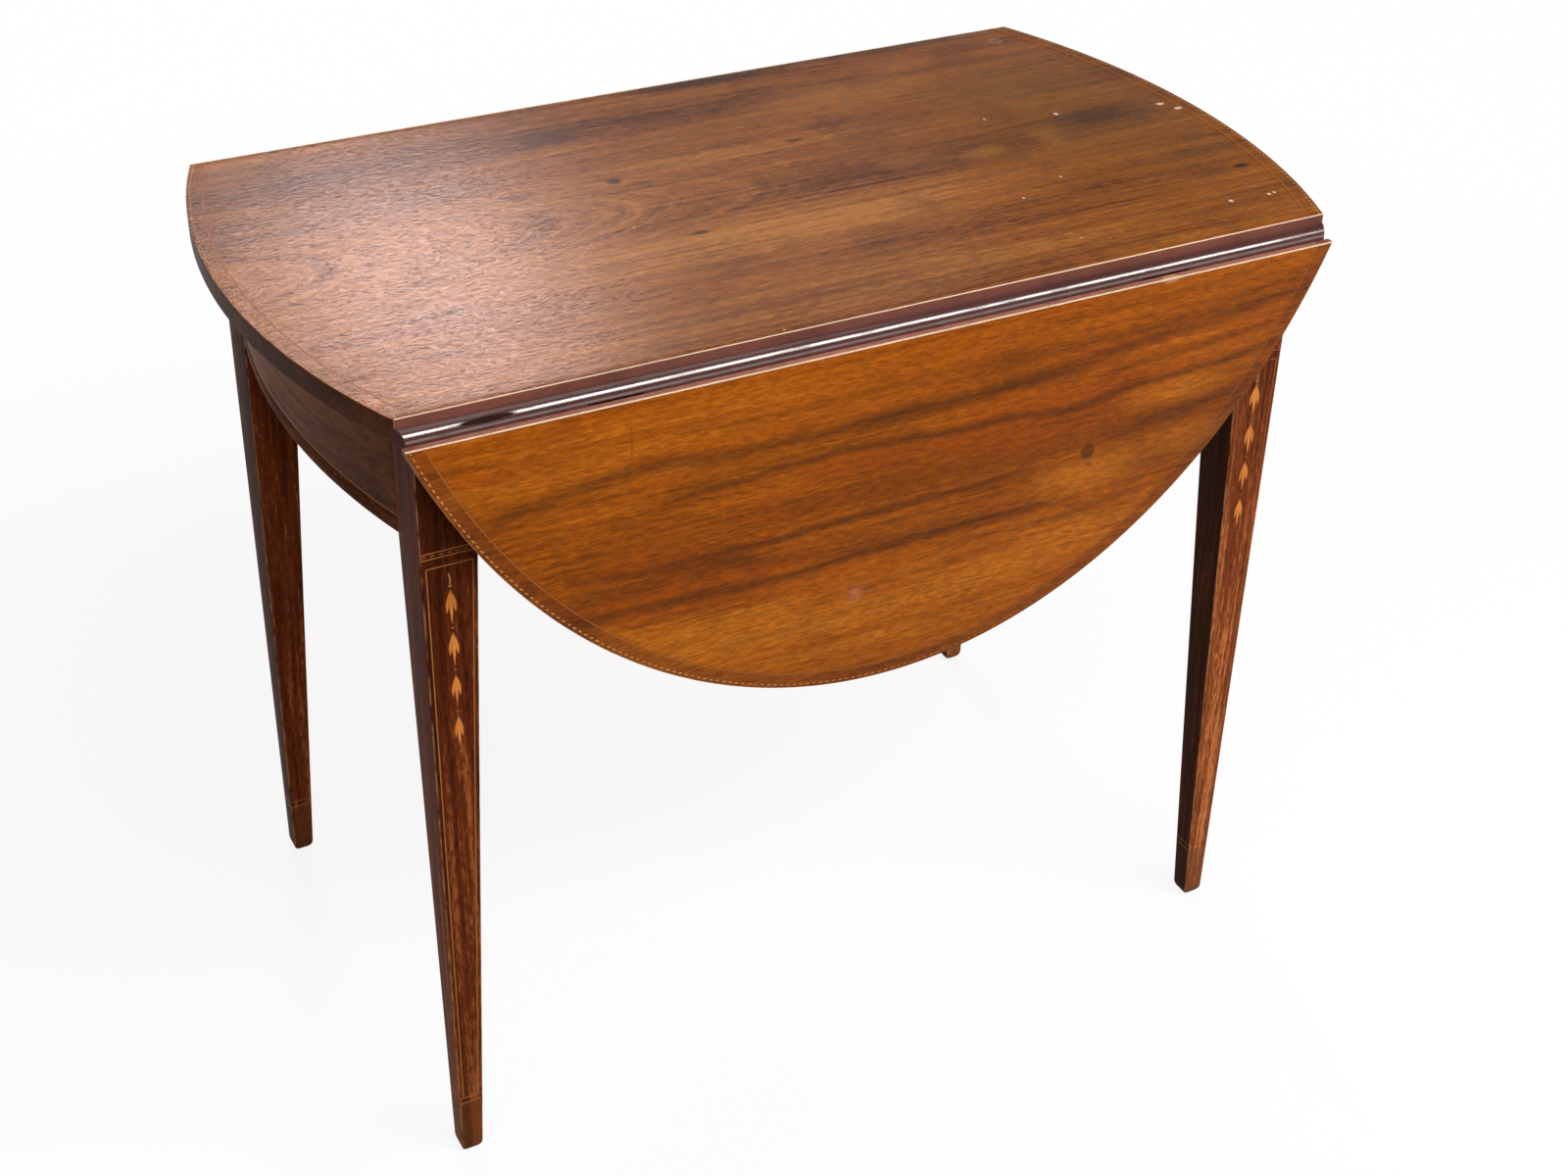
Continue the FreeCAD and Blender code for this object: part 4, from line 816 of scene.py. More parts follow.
# How each finish is made: its function and what that takes besides the name
FINISHES = {
    "top_mahogany": (top_finish,),
    "top_edge": (edge_finish,),
    "leaf_mahogany_front": (leaf_finish, "front"),
    "leaf_mahogany_back": (leaf_finish, "back"),
    "leg_mahogany": (leg_finish,),
    "rail_mahogany": (rail_finish,),
    "boxwood_inlay": (boxwood_finish, "boxwood"),
    "boxwood_rail": (boxwood_finish, "boxwood", 0.9),
    "holly_line": (boxwood_finish, "holly", 0.0, 0.1),
    "husk_satinwood": (boxwood_finish, "husk"),
    "fly_beech": (plain_wood, "beech", "X"),
    "carcase_pine": (plain_wood, "pine", "X"),
    "block_pine": (plain_wood, "pine", "Z"),
    "drawer_oak": (plain_wood, "oak", "X"),
    "drawer_oak_cross": (plain_wood, "oak", "Y"),
    "hinge_iron": (metal_finish, "iron", (0.4, 0.75), 0.85, 0.6),
    "screw_iron": (metal_finish, "iron", (0.35, 0.7), 0.9, 0.4),
    "knob_brass": (metal_finish, "brass", (0.2, 0.5), 1.0, 0.35),
}


def finish(name):
    """The named finish, made on its first use."""
    build, *settings = FINISHES[name]
    return bpy.data.materials.get("finish_" + name) or build(name, *settings)


# Mesh helpers

def settle(piece, body, slot, *nodes):
    """Puts a finished piece on its body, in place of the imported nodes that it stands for."""
    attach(piece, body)
    if nodes:
        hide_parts(*nodes)


# Distance from the middle over which an inlay's stain changes from the left to the right
STAIN_REACH = 0.2


def scorch(mesh, amount):
    """Marks an inlay as stained by age, from 0 for pale to 1 for brown, at its left and right ends."""
    left, right = amount if isinstance(amount, tuple) else (amount, amount)
    layer = mesh.attributes.new("scorch", "FLOAT", "POINT")
    shares = [min(1.0, max(0.0, (v.co.x + STAIN_REACH) / (2 * STAIN_REACH))) for v in mesh.vertices]
    layer.data.foreach_set("value", [left + (right - left) * share_right for share_right in shares])


def new_mesh(name, bm):
    """The bmesh as a mesh of its own."""
    mesh = bpy.data.meshes.new(name)
    bm.to_mesh(mesh)
    bm.free()
    return mesh


def new_object(name, data):
    """A new object in the scene."""
    made = bpy.data.objects.new(name, data)
    bpy.context.scene.collection.objects.link(made)
    return made


def make_piece(name, bm, material, body, slot, *nodes, outward=True, smooth=40, stained=None):
    """Turns a bmesh into a settled piece with faces outwards and soft edges shaded smooth."""
    if outward:
        bmesh.ops.recalc_face_normals(bm, faces=bm.faces)
    for face in bm.faces:
        face.smooth = len(face.verts) <= 4
    mesh = new_mesh(name, bm)
    mesh.set_sharp_from_angle(angle=math.radians(smooth))
    for paint in material if isinstance(material, tuple) else (material,):
        mesh.materials.append(paint)
    if stained is not None:
        scorch(mesh, stained)
    settle(new_object(name, mesh), body, slot, *nodes)


def skin(bm, rings):
    """Closed solid through rings of equally many points."""
    rows = [[bm.verts.new(p) for p in ring] for ring in rings]
    for low, high in zip(rows, rows[1:]):
        for i in range(len(low)):
            j = (i + 1) % len(low)
            bm.faces.new((low[i], low[j], high[j], high[i]))
    bm.faces.new(rows[0][::-1])
    bm.faces.new(rows[-1])


def soften(bm, width, wanted=None, segments=3, angle=40):
    """Rounds the outer edges and marks their faces as arrises, for the wear."""
    bm.normal_update()
    bm.faces.layers.float.new("arris")
    sharp = math.radians(angle)
    edges = [e for e in bm.edges if len(e.link_faces) == 2 and e.is_convex
             and e.calc_face_angle(0) > sharp and (wanted is None or wanted(e))]
    made = bmesh.ops.bevel(bm, geom=edges, offset=width, offset_type="OFFSET", segments=segments,
                           profile=0.5, affect="EDGES", clamp_overlap=True)
    layer = bm.faces.layers.float["arris"]
    for face in made["faces"]:
        face[layer] = 1.0


def slab(bm, low, high, place=Vector):
    """A box between two corners, each corner put in its place."""
    around = ((low.x, low.y), (high.x, low.y), (high.x, high.y), (low.x, high.y))
    skin(bm, [[place((x, y, z)) for x, y in around] for z in (low.z, high.z)])


def let_in(bm, beds):
    """The solid less the beds cut into it."""
    bmesh.ops.recalc_face_normals(beds, faces=beds.faces)
    board, knife = (new_object(name, new_mesh(name, solid))
                    for name, solid in (("board", bm), ("knife", beds)))
    cut = board.modifiers.new("beds", "BOOLEAN")
    cut.operation, cut.solver, cut.object = "DIFFERENCE", "EXACT", knife
    result = bmesh.new()
    result.from_mesh(realised(board))
    bmesh.ops.dissolve_degenerate(result, dist=0.002 * MM, edges=result.edges)
    for each in (board, knife):
        spare = each.data
        bpy.data.objects.remove(each)
        bpy.data.meshes.remove(spare)
    return result


def hinge_beds(s, side):
    """Ends along X, and the reach of the flap from the pin, for each hinge on one side."""
    for end in ENDS:
        low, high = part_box(f"hinge_{side}_{end}_top_flap")
        yield low.x - s.hinge_play, high.x + s.hinge_play, high.y - low.y


def ribbon(bm, place, path, width):
    """A flat string laid into a face. Path and place use (along, across, height off the face)."""
    inlay = sizes()[1]
    rings = []
    for i, (u, v) in enumerate(path):
        before, after = path[max(i - 1, 0)], path[min(i + 1, len(path) - 1)]
        run = Vector((after[0] - before[0], after[1] - before[1])).normalized()
        du, dv = -run.y * width / 2, run.x * width / 2
        corners = [(du, dv, -inlay.depth), (-du, -dv, -inlay.depth),
                   (-du, -dv, inlay.rise), (du, dv, inlay.rise)]
        rings.append([place(u + off_u, v + off_v, h) for off_u, off_v, h in corners])
    skin(bm, rings)


def lay_strings(name, body, place, paths, width, material, stained, *nodes):
    """One piece of plain strings along several paths on one face."""
    bm = bmesh.new()
    for path in paths:
        ribbon(bm, place, path, width)
    make_piece(name, bm, finish(material), body, "boxwood_inlay", *nodes, stained=stained)


def realised(piece):
    """Turns a piece's modifiers into a plain mesh."""
    graph = bpy.context.evaluated_depsgraph_get()
    mesh = bpy.data.meshes.new_from_object(piece.evaluated_get(graph), depsgraph=graph)
    old = piece.data
    piece.modifiers.clear()
    piece.data = mesh
    mesh.name = old.name
    bpy.data.meshes.remove(old)
    return mesh


def grow(piece, tree, **values):
    """Grows a piece by a geometry tree, with its inputs set through their sockets' identifiers."""
    modifier = piece.modifiers.new(tree.name, "NODES")
    modifier.node_group = tree
    for item in tree.interface.items_tree:
        key = item.name.replace(" ", "_")
        if item.item_type == "SOCKET" and item.in_out == "INPUT" and key in values:
            modifier[item.identifier] = values[key]
    return realised(piece)


def geometry_tree(name, inputs):
    """A new geometry tree with named inputs, and the wiring to fill it."""
    tree = bpy.data.node_groups.new(name, "GeometryNodeTree")
    tree.is_modifier = True
    tree.interface.new_socket("Geometry", in_out="INPUT", socket_type="NodeSocketGeometry")
    for label, kind in inputs:
        tree.interface.new_socket(label, in_out="INPUT", socket_type="NodeSocket" + kind)
    tree.interface.new_socket("Geometry", in_out="OUTPUT", socket_type="NodeSocketGeometry")
    return group_ends(tree)


@made_once
def rope_edging(name):
    """Strands at an even pitch along a path, each turned to the path and lying on the face."""
    w, source, sink = geometry_tree(name, [
        ("Pitch", "Float"), ("Strand Length", "Float"), ("Strand Width", "Float"), ("Strand Height", "Float"),
        ("Slant", "Float"), ("Face Normal", "Vector"), ("Material", "Material")])
    curve = w.add("GeometryNodeMeshToCurve", {0: source["Geometry"]})
    points = w.add("GeometryNodeCurveToPoints", {"Curve": curve.outputs[0], "Length": source["Pitch"]},
                   mode="LENGTH").outputs
    along = w.add("FunctionNodeAlignRotationToVector", {"Vector": points["Tangent"]}, axis="X")
    upright = w.add("FunctionNodeAlignRotationToVector",
                    {"Rotation": along.outputs[0], "Vector": source["Face Normal"]}, axis="Z", pivot_axis="X")
    slant = w.add("FunctionNodeAxisAngleToRotation", {"Axis": (0, 0, 1), "Angle": source["Slant"]})
    turned = w.add("FunctionNodeRotateRotation",
                   {"Rotation": upright.outputs[0], "Rotate By": slant.outputs[0]}, rotation_space="LOCAL")
    strand = w.add("GeometryNodeMeshCylinder", {"Vertices": 10, "Radius": 0.5, "Depth": 1.0})
    scale = w.joined(*(source["Strand " + measure] for measure in ("Length", "Width", "Height")))
    laid = w.add("GeometryNodeInstanceOnPoints",
                 {"Points": points["Points"], "Instance": strand.outputs["Mesh"],
                  "Rotation": turned.outputs[0], "Scale": scale})
    solid = w.add("GeometryNodeRealizeInstances", {0: laid.outputs[0]})
    painted = w.add("GeometryNodeSetMaterial", {"Geometry": solid.outputs[0], "Material": source["Material"]})
    w.set(sink[0], painted.outputs[0])
    return w.tree


@made_once
def husk_drop(name):
    """A drop of husks: the piece's own mesh repeated downwards, each narrower than the last."""
    w, source, sink = geometry_tree(name, [("Count", "Int"), ("Pitch", "Float"), ("Narrowing", "Float"),
                                           ("Place", "Vector"), ("Material", "Material")])
    drop = w.joined(0.0, 0.0, w.times(source["Pitch"], -1.0))
    points = w.add("GeometryNodeMeshLine", {"Count": source["Count"], "Offset": drop}, mode="OFFSET")
    index = w.add("GeometryNodeInputIndex")
    narrow = w.rest(w.times(index.outputs[0], source["Narrowing"]))
    laid = w.add("GeometryNodeInstanceOnPoints",
                 {"Points": points.outputs[0], "Instance": source["Geometry"],
                  "Scale": w.joined(narrow, 1.0, 1.0)})
    solid = w.add("GeometryNodeRealizeInstances", {0: laid.outputs[0]})
    moved = w.add("GeometryNodeTransform", {"Geometry": solid.outputs[0], "Translation": source["Place"]})
    painted = w.add("GeometryNodeSetMaterial", {"Geometry": moved.outputs[0], "Material": source["Material"]})
    w.set(sink[0], painted.outputs[0])
    return w.tree


# Shapes of the table

def oval_x(s, y, inset=0.0):
    """Half length of the oval outline at a distance from the centre line."""
    share_out = y / (s.half_width - inset)
    return (s.half_length - inset) * math.sqrt(max(0.0, 1 - share_out * share_out))


def hung(s, side, x, out, z):
    """Where a point of a raised leaf lies once the leaf hangs."""
    return Vector((x, side * (s.joint_half_width + z - s.pin_height),
                   s.pin_height - (out - s.joint_half_width)))


def on_top(s, inlay):
    """Inlay coordinates on the face of the top."""
    return lambda u, v, h: Vector((u, v, s.table_height - inlay.rise + h))


def on_leaf(s, inlay, side):
    """Inlay coordinates on the face of a hanging leaf."""
    return lambda u, v, h: hung(s, side, u, v, s.table_height - inlay.rise + h)


def on_leg(s, side, end):
    """Inlay coordinates on the outer side face of a leg, from its outer corner."""
    return lambda u, v, h: Vector((end * (s.leg_outer_x - u), side * (s.leg_outer_y + h), v))


def leg_width(s, z):
    """Side of the leg at a height: square above, tapered on the inner faces below the apron."""
    if z >= s.apron_bottom:
        return s.leg_square
    return s.foot_square + (s.leg_square - s.foot_square) * z / s.apron_bottom


# Points along an end of the top, a leaf's rim, a round of the rule joint and an end's outline
END_POINTS, RIM_POINTS, ROUND_POINTS, OUTLINE_POINTS = 49, 121, 13, 61


def spread(low, high, count):
    """Evenly spaced values from low to high."""
    return [low + (high - low) * i / (count - 1) for i in range(count)]


def circle(count):
    """Evenly spaced angles around a circle."""
    return [2 * math.pi * i / count for i in range(count)]


def end_arc(s, inset, short):
    """Points along one end of the oval, a little short of the joints."""
    half = s.joint_half_width - short
    return [(oval_x(s, y, inset), y) for y in spread(-half, half, END_POINTS)]


def leaf_arc(s, inset, start):
    """Points along a raised leaf's rim, from joint to joint."""
    first = math.asin(start / (s.half_width - inset))
    long, wide = s.half_length - inset, s.half_width - inset
    return [(long * math.cos(t), wide * math.sin(t)) for t in spread(first, math.pi - first, RIM_POINTS)]


class TABLE_OT_top(bpy.types.Operator):
    """Make the fixed top, with its fillet and ovolo along both joints"""
    bl_idname = "table.make_top"
    bl_label = "Top"

    def execute(self, context):
        s, inlay = sizes()
        levels = [(s.table_height - s.thickness, s.joint_half_width + s.ovolo_radius)]
        levels += [(s.pin_height + s.ovolo_radius * math.sin(t),
                    s.joint_half_width + s.ovolo_radius * math.cos(t))
                   for t in spread(0, math.pi / 2, ROUND_POINTS)]
        levels.append((s.table_height - inlay.rise, s.joint_half_width))
        rings = []
        for z, half in levels:
            right = [Vector((oval_x(s, y), y, z)) for y in spread(-half, half, OUTLINE_POINTS)]
            rings.append(right + [Vector((-p.x, -p.y, z)) for p in right])
        bm = bmesh.new()
        skin(bm, rings)
        soften(bm, s.arris)
        bm = let_in(bm, self.beds(s, 0.0, True))
        bm = let_in(bm, self.beds(s, s.hinge_play, False))
        bm = let_in(bm, self.barrels(s))
        dull = bm.faces.layers.float.new("dull")
        bm.normal_update()
        for face in bm.faces:
            on_face = face.normal.z > 0.5 and face.calc_center_median().z > s.table_height - 2 * s.arris
            face.material_index = 0 if on_face else 1
            face[dull] = float(abs(face.normal.x) > 0.5)
        wood = (finish("top_mahogany"), finish("top_edge"))
        make_piece("top", bm, wood, "root", "top_mahogany", "top_board")
        return {"FINISHED"}

    def beds(self, s, over, under_flap):
        """Room over the leaf flaps when they come up, and with under_flap for the fixed flaps too."""
        bm = bmesh.new()
        for side, sign in SIDES.items():
            for start, finish_x, reach in hinge_beds(s, side):
                inner = s.joint_half_width - (reach if under_flap else 0.0)
                outer = s.joint_half_width + s.ovolo_radius + MM
                low, high = sorted((sign * inner, sign * outer))
                slab(bm, Vector((start, low, s.table_height - s.thickness - MM)),
                     Vector((finish_x, high, s.pin_height + over)))
        return bm

    def barrels(self, s):
        """Round room for the knuckles."""
        bm = bmesh.new()
        radius = s.barrel_radius + s.hinge_play
        round_hole = [(radius * math.cos(t), s.pin_height + radius * math.sin(t)) for t in circle(24)]
        for side, sign in SIDES.items():
            for start, finish_x, _ in hinge_beds(s, side):
                skin(bm, [[(x, sign * s.joint_half_width + y, z) for y, z in round_hole]
                          for x in (start, finish_x)])
        return bm


class TABLE_OT_leaves(bpy.types.Operator):
    """Make the two drop leaves, with the cove that rides over the ovolo"""
    bl_idname = "table.make_leaves"
    bl_label = "Leaves"

    def execute(self, context):
        s, inlay = sizes()
        cove = s.ovolo_radius + s.joint_gap
        lip = s.joint_half_width + s.joint_gap
        last = math.acos(s.joint_gap / cove)
        levels = [(s.table_height - s.thickness, s.joint_half_width + cove)]
        levels += [(s.pin_height + cove * math.sin(t), s.joint_half_width + cove * math.cos(t))
                   for t in spread(0, last, ROUND_POINTS)]
        levels.append((s.table_height - inlay.rise, lip))
        for side, sign in SIDES.items():
            bm = bmesh.new()
            skin(bm, [[hung(s, sign, x, out, z) for x, out in leaf_arc(s, 0.0, inner)]
                      for z, inner in levels])
            bmesh.ops.recalc_face_normals(bm, faces=bm.faces)
            soften(bm, s.arris)
            beds = bmesh.new()
            for start, finish_x, reach in hinge_beds(s, side):
                slab(beds, Vector((start, lip, s.table_height - s.thickness - MM)),
                     Vector((finish_x, s.joint_half_width + reach, s.pin_height)),
                     lambda p: hung(s, sign, *p))
            make_piece(f"leaf_{side}_wood", let_in(bm, beds), finish(f"leaf_mahogany_{side}"),
                       f"leaf_{side}", "leaf_mahogany", f"leaf_{side}")
        return {"FINISHED"}


class TABLE_OT_legs(bpy.types.Operator):
    """Make the four square legs, tapered on their inner faces, with worn feet"""
    bl_idname = "table.make_legs"
    bl_label = "Legs"

    def execute(self, context):
        s = context.scene.table_sizes
        foot = [s.foot_round * (1 - math.cos(t)) for t in spread(0, math.pi / 2, 7)]
        shaft = [s.apron_bottom * k / 8 for k in range(1, 9)]
        steps = spread(0, math.pi / 2, 5)
        for side, end in LEGS:
            bm = bmesh.new()
            arris = bm.faces.layers.float.new("arris")
            dull = bm.faces.layers.float.new("dull")
            rings = []
            for z in foot + shaft + [s.table_height - s.thickness]:
                below = max(0.0, s.foot_round - z)
                inset = s.foot_inset * (1 - math.sqrt(1 - (below / s.foot_round) ** 2))
                low, high = inset, leg_width(s, z) - inset
                radius = s.leg_arris + 0.45 * inset
                ring = []
                for k, (cu, cv) in enumerate(((high, high), (low, high), (low, low), (high, low))):
                    cu += radius if cu == low else -radius
                    cv += radius if cv == low else -radius
                    for t in steps:
                        turn = t + k * math.pi / 2
                        u, v = cu + radius * math.cos(turn), cv + radius * math.sin(turn)
                        ring.append((ENDS[end] * (s.leg_outer_x - u), SIDES[side] * (s.leg_outer_y - v), z))
                rings.append(ring)
            skin(bm, rings)
            bm.faces.ensure_lookup_table()
            around = len(rings[0])
            for i, face in enumerate(bm.faces[:around * (len(rings) - 1)]):
                face[arris] = float(i % len(steps) != len(steps) - 1)
                # The last strip faces the next leg along the table, and is marked for painted shade
                face[dull] = float(i % around == around - 1)
            name = f"leg_{side}_{end}"
            make_piece(name + "_wood", bm, finish("leg_mahogany"), "root", "leg_mahogany", name)
        return {"FINISHED"}


def rope(name, paths, normal, body, stained):
    """One piece of rope edging along several paths on one face."""
    inlay = sizes()[1]
    points, edges = [], []
    for path in paths:
        first = len(points)
        points += path
        edges += [(first + i, first + i + 1) for i in range(len(path) - 1)]
    mesh = bpy.data.meshes.new(name)
    mesh.from_pydata(points, edges, [])
    piece = new_object(name, mesh)
    grown = grow(piece, rope_edging(), Pitch=inlay.rope_pitch, Strand_Length=inlay.rope_strand,
                 Strand_Width=inlay.rope_width, Strand_Height=2 * inlay.rise + inlay.depth,
                 Slant=ROPE_SLANT, Face_Normal=normal, Material=finish("boxwood_inlay"))
    scorch(grown, stained)
    settle(piece, body, "boxwood_inlay")


# Slant of the strands, room beside an arris line and at its ends
ROPE_SLANT = math.radians(9)
ARRIS_MARGIN, ARRIS_SHORT = 0.15 * MM, 0.9 * MM


class TABLE_OT_stringing(bpy.types.Operator):
    """Lay the strings, arris lines and rope edging into the top and the leaves"""
    bl_idname = "table.lay_stringing"
    bl_label = "Stringing"

    def execute(self, context):
        s, inlay = sizes()
        width, lift = inlay.string_width, -inlay.depth / 2
        edge_in = width / 2 + ARRIS_MARGIN

        def arris_line(edge, middle):
            half = oval_x(s, edge) - ARRIS_SHORT
            return [(x, middle) for x in spread(-half, half, 9)]

        place = on_top(s, inlay)
        ends = [[(end * x, y) for x, y in end_arc(s, inlay.string_inset, width / 2)] for end in ENDS.values()]
        lay_strings("top_end_strings", "root", place, ends, width, "boxwood_inlay", 0.9)
        insets = [side * (s.joint_half_width - edge_in) for side in SIDES.values()]
        lay_strings("top_arris_strings", "root", place, [arris_line(y, y) for y in insets], width,
                    "holly_line", (0.15, 0.0), "top_stringing")
        paths = [[place(end * x, y, lift) for x, y in end_arc(s, inlay.rope_inset, inlay.rope_strand)]
                 for end in ENDS.values()]
        rope("top_rope", paths, (0, 0, 1), "root", 0.6)
        lip = s.joint_half_width + s.joint_gap
        for side, sign in SIDES.items():
            name, place = f"leaf_{side}", on_leaf(s, inlay, sign)
            rim = leaf_arc(s, inlay.string_inset, lip + width)
            lay_strings(name + "_string", name, place, [rim], 0.8 * width, "boxwood_inlay", (0.85, 0.9),
                        name + "_stringing")
            lay_strings(name + "_arris_string", name, place, [arris_line(lip, lip + edge_in)], width,
                        "holly_line", 0.05)
            path = [place(x, out, lift) for x, out in leaf_arc(s, inlay.rope_inset, lip + 2 * width)]
            rope(name + "_rope", [path], (0, sign, 0), name, (0.4, 1.0))
        return {"FINISHED"}


def petal(bm, layer, root, tip, widest, peak, place, height, lean=0.0, scorched=1.0):
    """One petal of a husk from root to tip, widest at its peak and scorched along one edge."""
    run = Vector(tip) - Vector(root)
    across = Vector((-run.y, run.x)).normalized()
    power = math.log(0.5) / math.log(peak)
    rows = []
    for t in spread(0, 1, 9):
        swell = max(0.06, math.sin(math.pi * t ** power))
        middle = Vector(root) + run * t + across * (lean * math.sin(math.pi * t))
        row = []
        for offset, burn in ((-1, 1.0), (-0.3, 0.1), (1, 0.7)):
            spot = middle + across * (offset * widest * swell / 2)
            vert = bm.verts.new(place(spot.x, spot.y, height))
            vert[layer] = min(1.0, burn * scorched * (0.35 + 0.65 * t))
            row.append(vert)
        rows.append(row)
    for first, second in zip(rows, rows[1:]):
        for k in range(2):
            bm.faces.new((first[k], first[k + 1], second[k + 1], second[k]))


def bead(bm, layer, place, v, radius, height):
    """A small round bead set into a face, browned all over."""
    ring = [bm.verts.new(place(radius * math.cos(t), v + radius * math.sin(t), height)) for t in circle(12)]
    for vert in ring:
        vert[layer] = 0.9
    bm.faces.new(ring)


# From the lower to the upper cuff line, and the share of their width that the left legs' husks have
CUFF_BAND, LEFT_HUSKS = 6 * MM, 0.84
# The stem over the husks and the bar across its foot, in mm: width, and points from the husks' head
STEM_LINES = ((1.0, ((0, 4.5), (0.4, 9), (-0.6, 14))), (1.6, ((-1.1, 3), (1.1, 3))))


class TABLE_OT_leg_inlay(bpy.types.Operator):
    """Lay the string panels, husk drops, bands and cuff lines into the legs"""
    bl_idname = "table.lay_leg_inlay"
    bl_label = "Leg inlay"

    def execute(self, context):
        s, inlay = sizes()
        for side, end in LEGS:
            self.strings(s, inlay, side, end)
            self.husks(s, inlay, side, end)
        return {"FINISHED"}

    def strings(self, s, inlay, side, end):
        """Panel lines, the band at the apron and the cuff lines around the leg."""
        place = on_leg(s, SIDES[side], ENDS[end])
        width, outer = inlay.string_width, inlay.panel_inset
        head = s.apron_bottom - inlay.panel_drop
        cuff_top = inlay.cuff_height + CUFF_BAND
        inner = [(leg_width(s, z) - outer, z) for z in spread(cuff_top, head, 5)]
        band = [s.apron_bottom, s.apron_bottom + inlay.band_gap]
        bm = bmesh.new()
        for path in ([(outer, cuff_top), (outer, head)], inner, [(outer, head), inner[-1]],
                     *([(s.leg_arris, z), (s.leg_square - s.leg_arris, z)] for z in band)):
            ribbon(bm, place, path, width)
        for z in (inlay.cuff_height, cuff_top):
            self.cuff(bm, s, inlay, side, end, z)
        name = f"leg_inlay_{side}_{end}"
        make_piece(name + "_strings", bm, finish("boxwood_inlay"), "root", "boxwood_inlay", name,
                   stained=(0.8, 0.95))
        path = [place(u, s.apron_bottom + inlay.band_gap / 2, -inlay.depth / 2)
                for u in spread(3 * MM, s.leg_square - 3 * MM, 3)]
        rope(f"leg_band_{side}_{end}", [path], (0, SIDES[side], 0), "root", 0.9)

    def cuff(self, bm, s, inlay, side, end, z):
        """A line around all four faces of the leg, just proud of them."""
        rings = []
        for level, out in ((z, -inlay.depth), (z, inlay.rise), (z + inlay.string_width, inlay.rise),
                           (z + inlay.string_width, -inlay.depth)):
            low, high = -out, leg_width(s, level) + out
            turn = s.leg_arris
            corners = [(high, high - turn), (high - turn, high), (low + turn, high), (low, high - turn),
                       (low, low + turn), (low + turn, low), (high - turn, low), (high, low + turn)]
            rings.append([bm.verts.new((ENDS[end] * (s.leg_outer_x - u), SIDES[side] * (s.leg_outer_y - v),
                                        level)) for u, v in corners])
        for first, second in zip(rings, rings[1:] + rings[:1]):
            for i in range(8):
                j = (i + 1) % 8
                bm.faces.new((first[i], first[j], second[j], second[i]))

    def husks(self, s, inlay, side, end):
        """A husk of three petals with its bead, repeated down the leg, under a short stem."""
        sign = SIDES[side]
        bm = bmesh.new()
        layer = bm.verts.layers.float.new("scorch")
        tall, wide = inlay.husk_length, inlay.husk_width * (1.0 if end == "right" else LEFT_HUSKS)

        def place(u, v, h):
            return Vector((u, sign * h, v))

        for way in (-1, 1):
            petal(bm, layer, (0, 0), (way * 0.43 * wide, -0.68 * tall), 0.4 * wide, 0.62, place, 0.06 * MM,
                  way * 0.07 * wide)
        petal(bm, layer, (0, -0.08 * tall), (0, -tall), 0.36 * wide, 0.42, place, 0.1 * MM, 0.0, 0.5)
        bead(bm, layer, place, -(tall + inlay.husk_pitch) / 2, 1.15 * MM, 0.08 * MM)
        bmesh.ops.recalc_face_normals(bm, faces=bm.faces)
        for face in bm.faces:
            if face.normal.y * sign < 0:
                face.normal_flip()
        self.thicken(bm, sign, inlay.depth)
        piece = new_object(f"husks_{side}_{end}", new_mesh("husks", bm))
        middle = ENDS[end] * (s.leg_outer_x - inlay.husk_offset)
        grow(piece, husk_drop(), Count=inlay.husk_count, Pitch=inlay.husk_pitch,
             Narrowing=inlay.husk_narrowing, Place=(middle, sign * s.leg_outer_y, inlay.husk_top),
             Material=finish("husk_satinwood"))
        settle(piece, "root", "boxwood_inlay")
        stem = bmesh.new()
        for width, points in STEM_LINES:
            path = [(inlay.husk_offset + u * MM, inlay.husk_top + v * MM) for u, v in points]
            ribbon(stem, on_leg(s, sign, ENDS[end]), path, width * MM)
        make_piece(f"husk_stem_{side}_{end}", stem, finish("boxwood_inlay"), "root", "boxwood_inlay",
                   stained=0.5)

    def thicken(self, bm, sign, depth):
        """Gives the flat petals their thickness into the leg."""
        bm.normal_update()
        made = bmesh.ops.extrude_face_region(bm, geom=list(bm.faces))
        # The extruded copy becomes the face; the first faces turn over to be the back
        fresh = [v for v in made["geom"] if isinstance(v, bmesh.types.BMVert)]
        old = [v for v in bm.verts if v not in set(fresh)]
        for vert in old:
            vert.co.y -= sign * depth
        bmesh.ops.recalc_face_normals(bm, faces=bm.faces)


def softened_copy(node, width, material, slot, body, wanted=None):
    """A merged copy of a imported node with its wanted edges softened."""
    bm = bmesh.new()
    bm.from_mesh(frame["nodes"][node].data)
    bmesh.ops.remove_doubles(bm, verts=bm.verts, dist=1e-6)
    bmesh.ops.dissolve_limit(bm, angle_limit=math.radians(0.4), verts=bm.verts, edges=bm.edges)
    soften(bm, width, wanted, segments=2, angle=50)
    make_piece(node + "_wood", bm, finish(material), body, slot, node, outward=False)


def long_edge(edge):
    """Edges worth softening: those of the outer shape, not of small joints and holes."""
    return edge.calc_length() > 9 * MM


def inner_copy(node, material, slot, body="root"):
    """A softened copy of a piece that is out of sight."""
    softened_copy(node, sizes()[0].rail_softening, material, slot, body, long_edge)


def dress(node, material):
    """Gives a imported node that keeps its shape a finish."""
    mesh = frame["nodes"][node].data
    mesh.materials.clear()
    mesh.materials.append(finish(material))


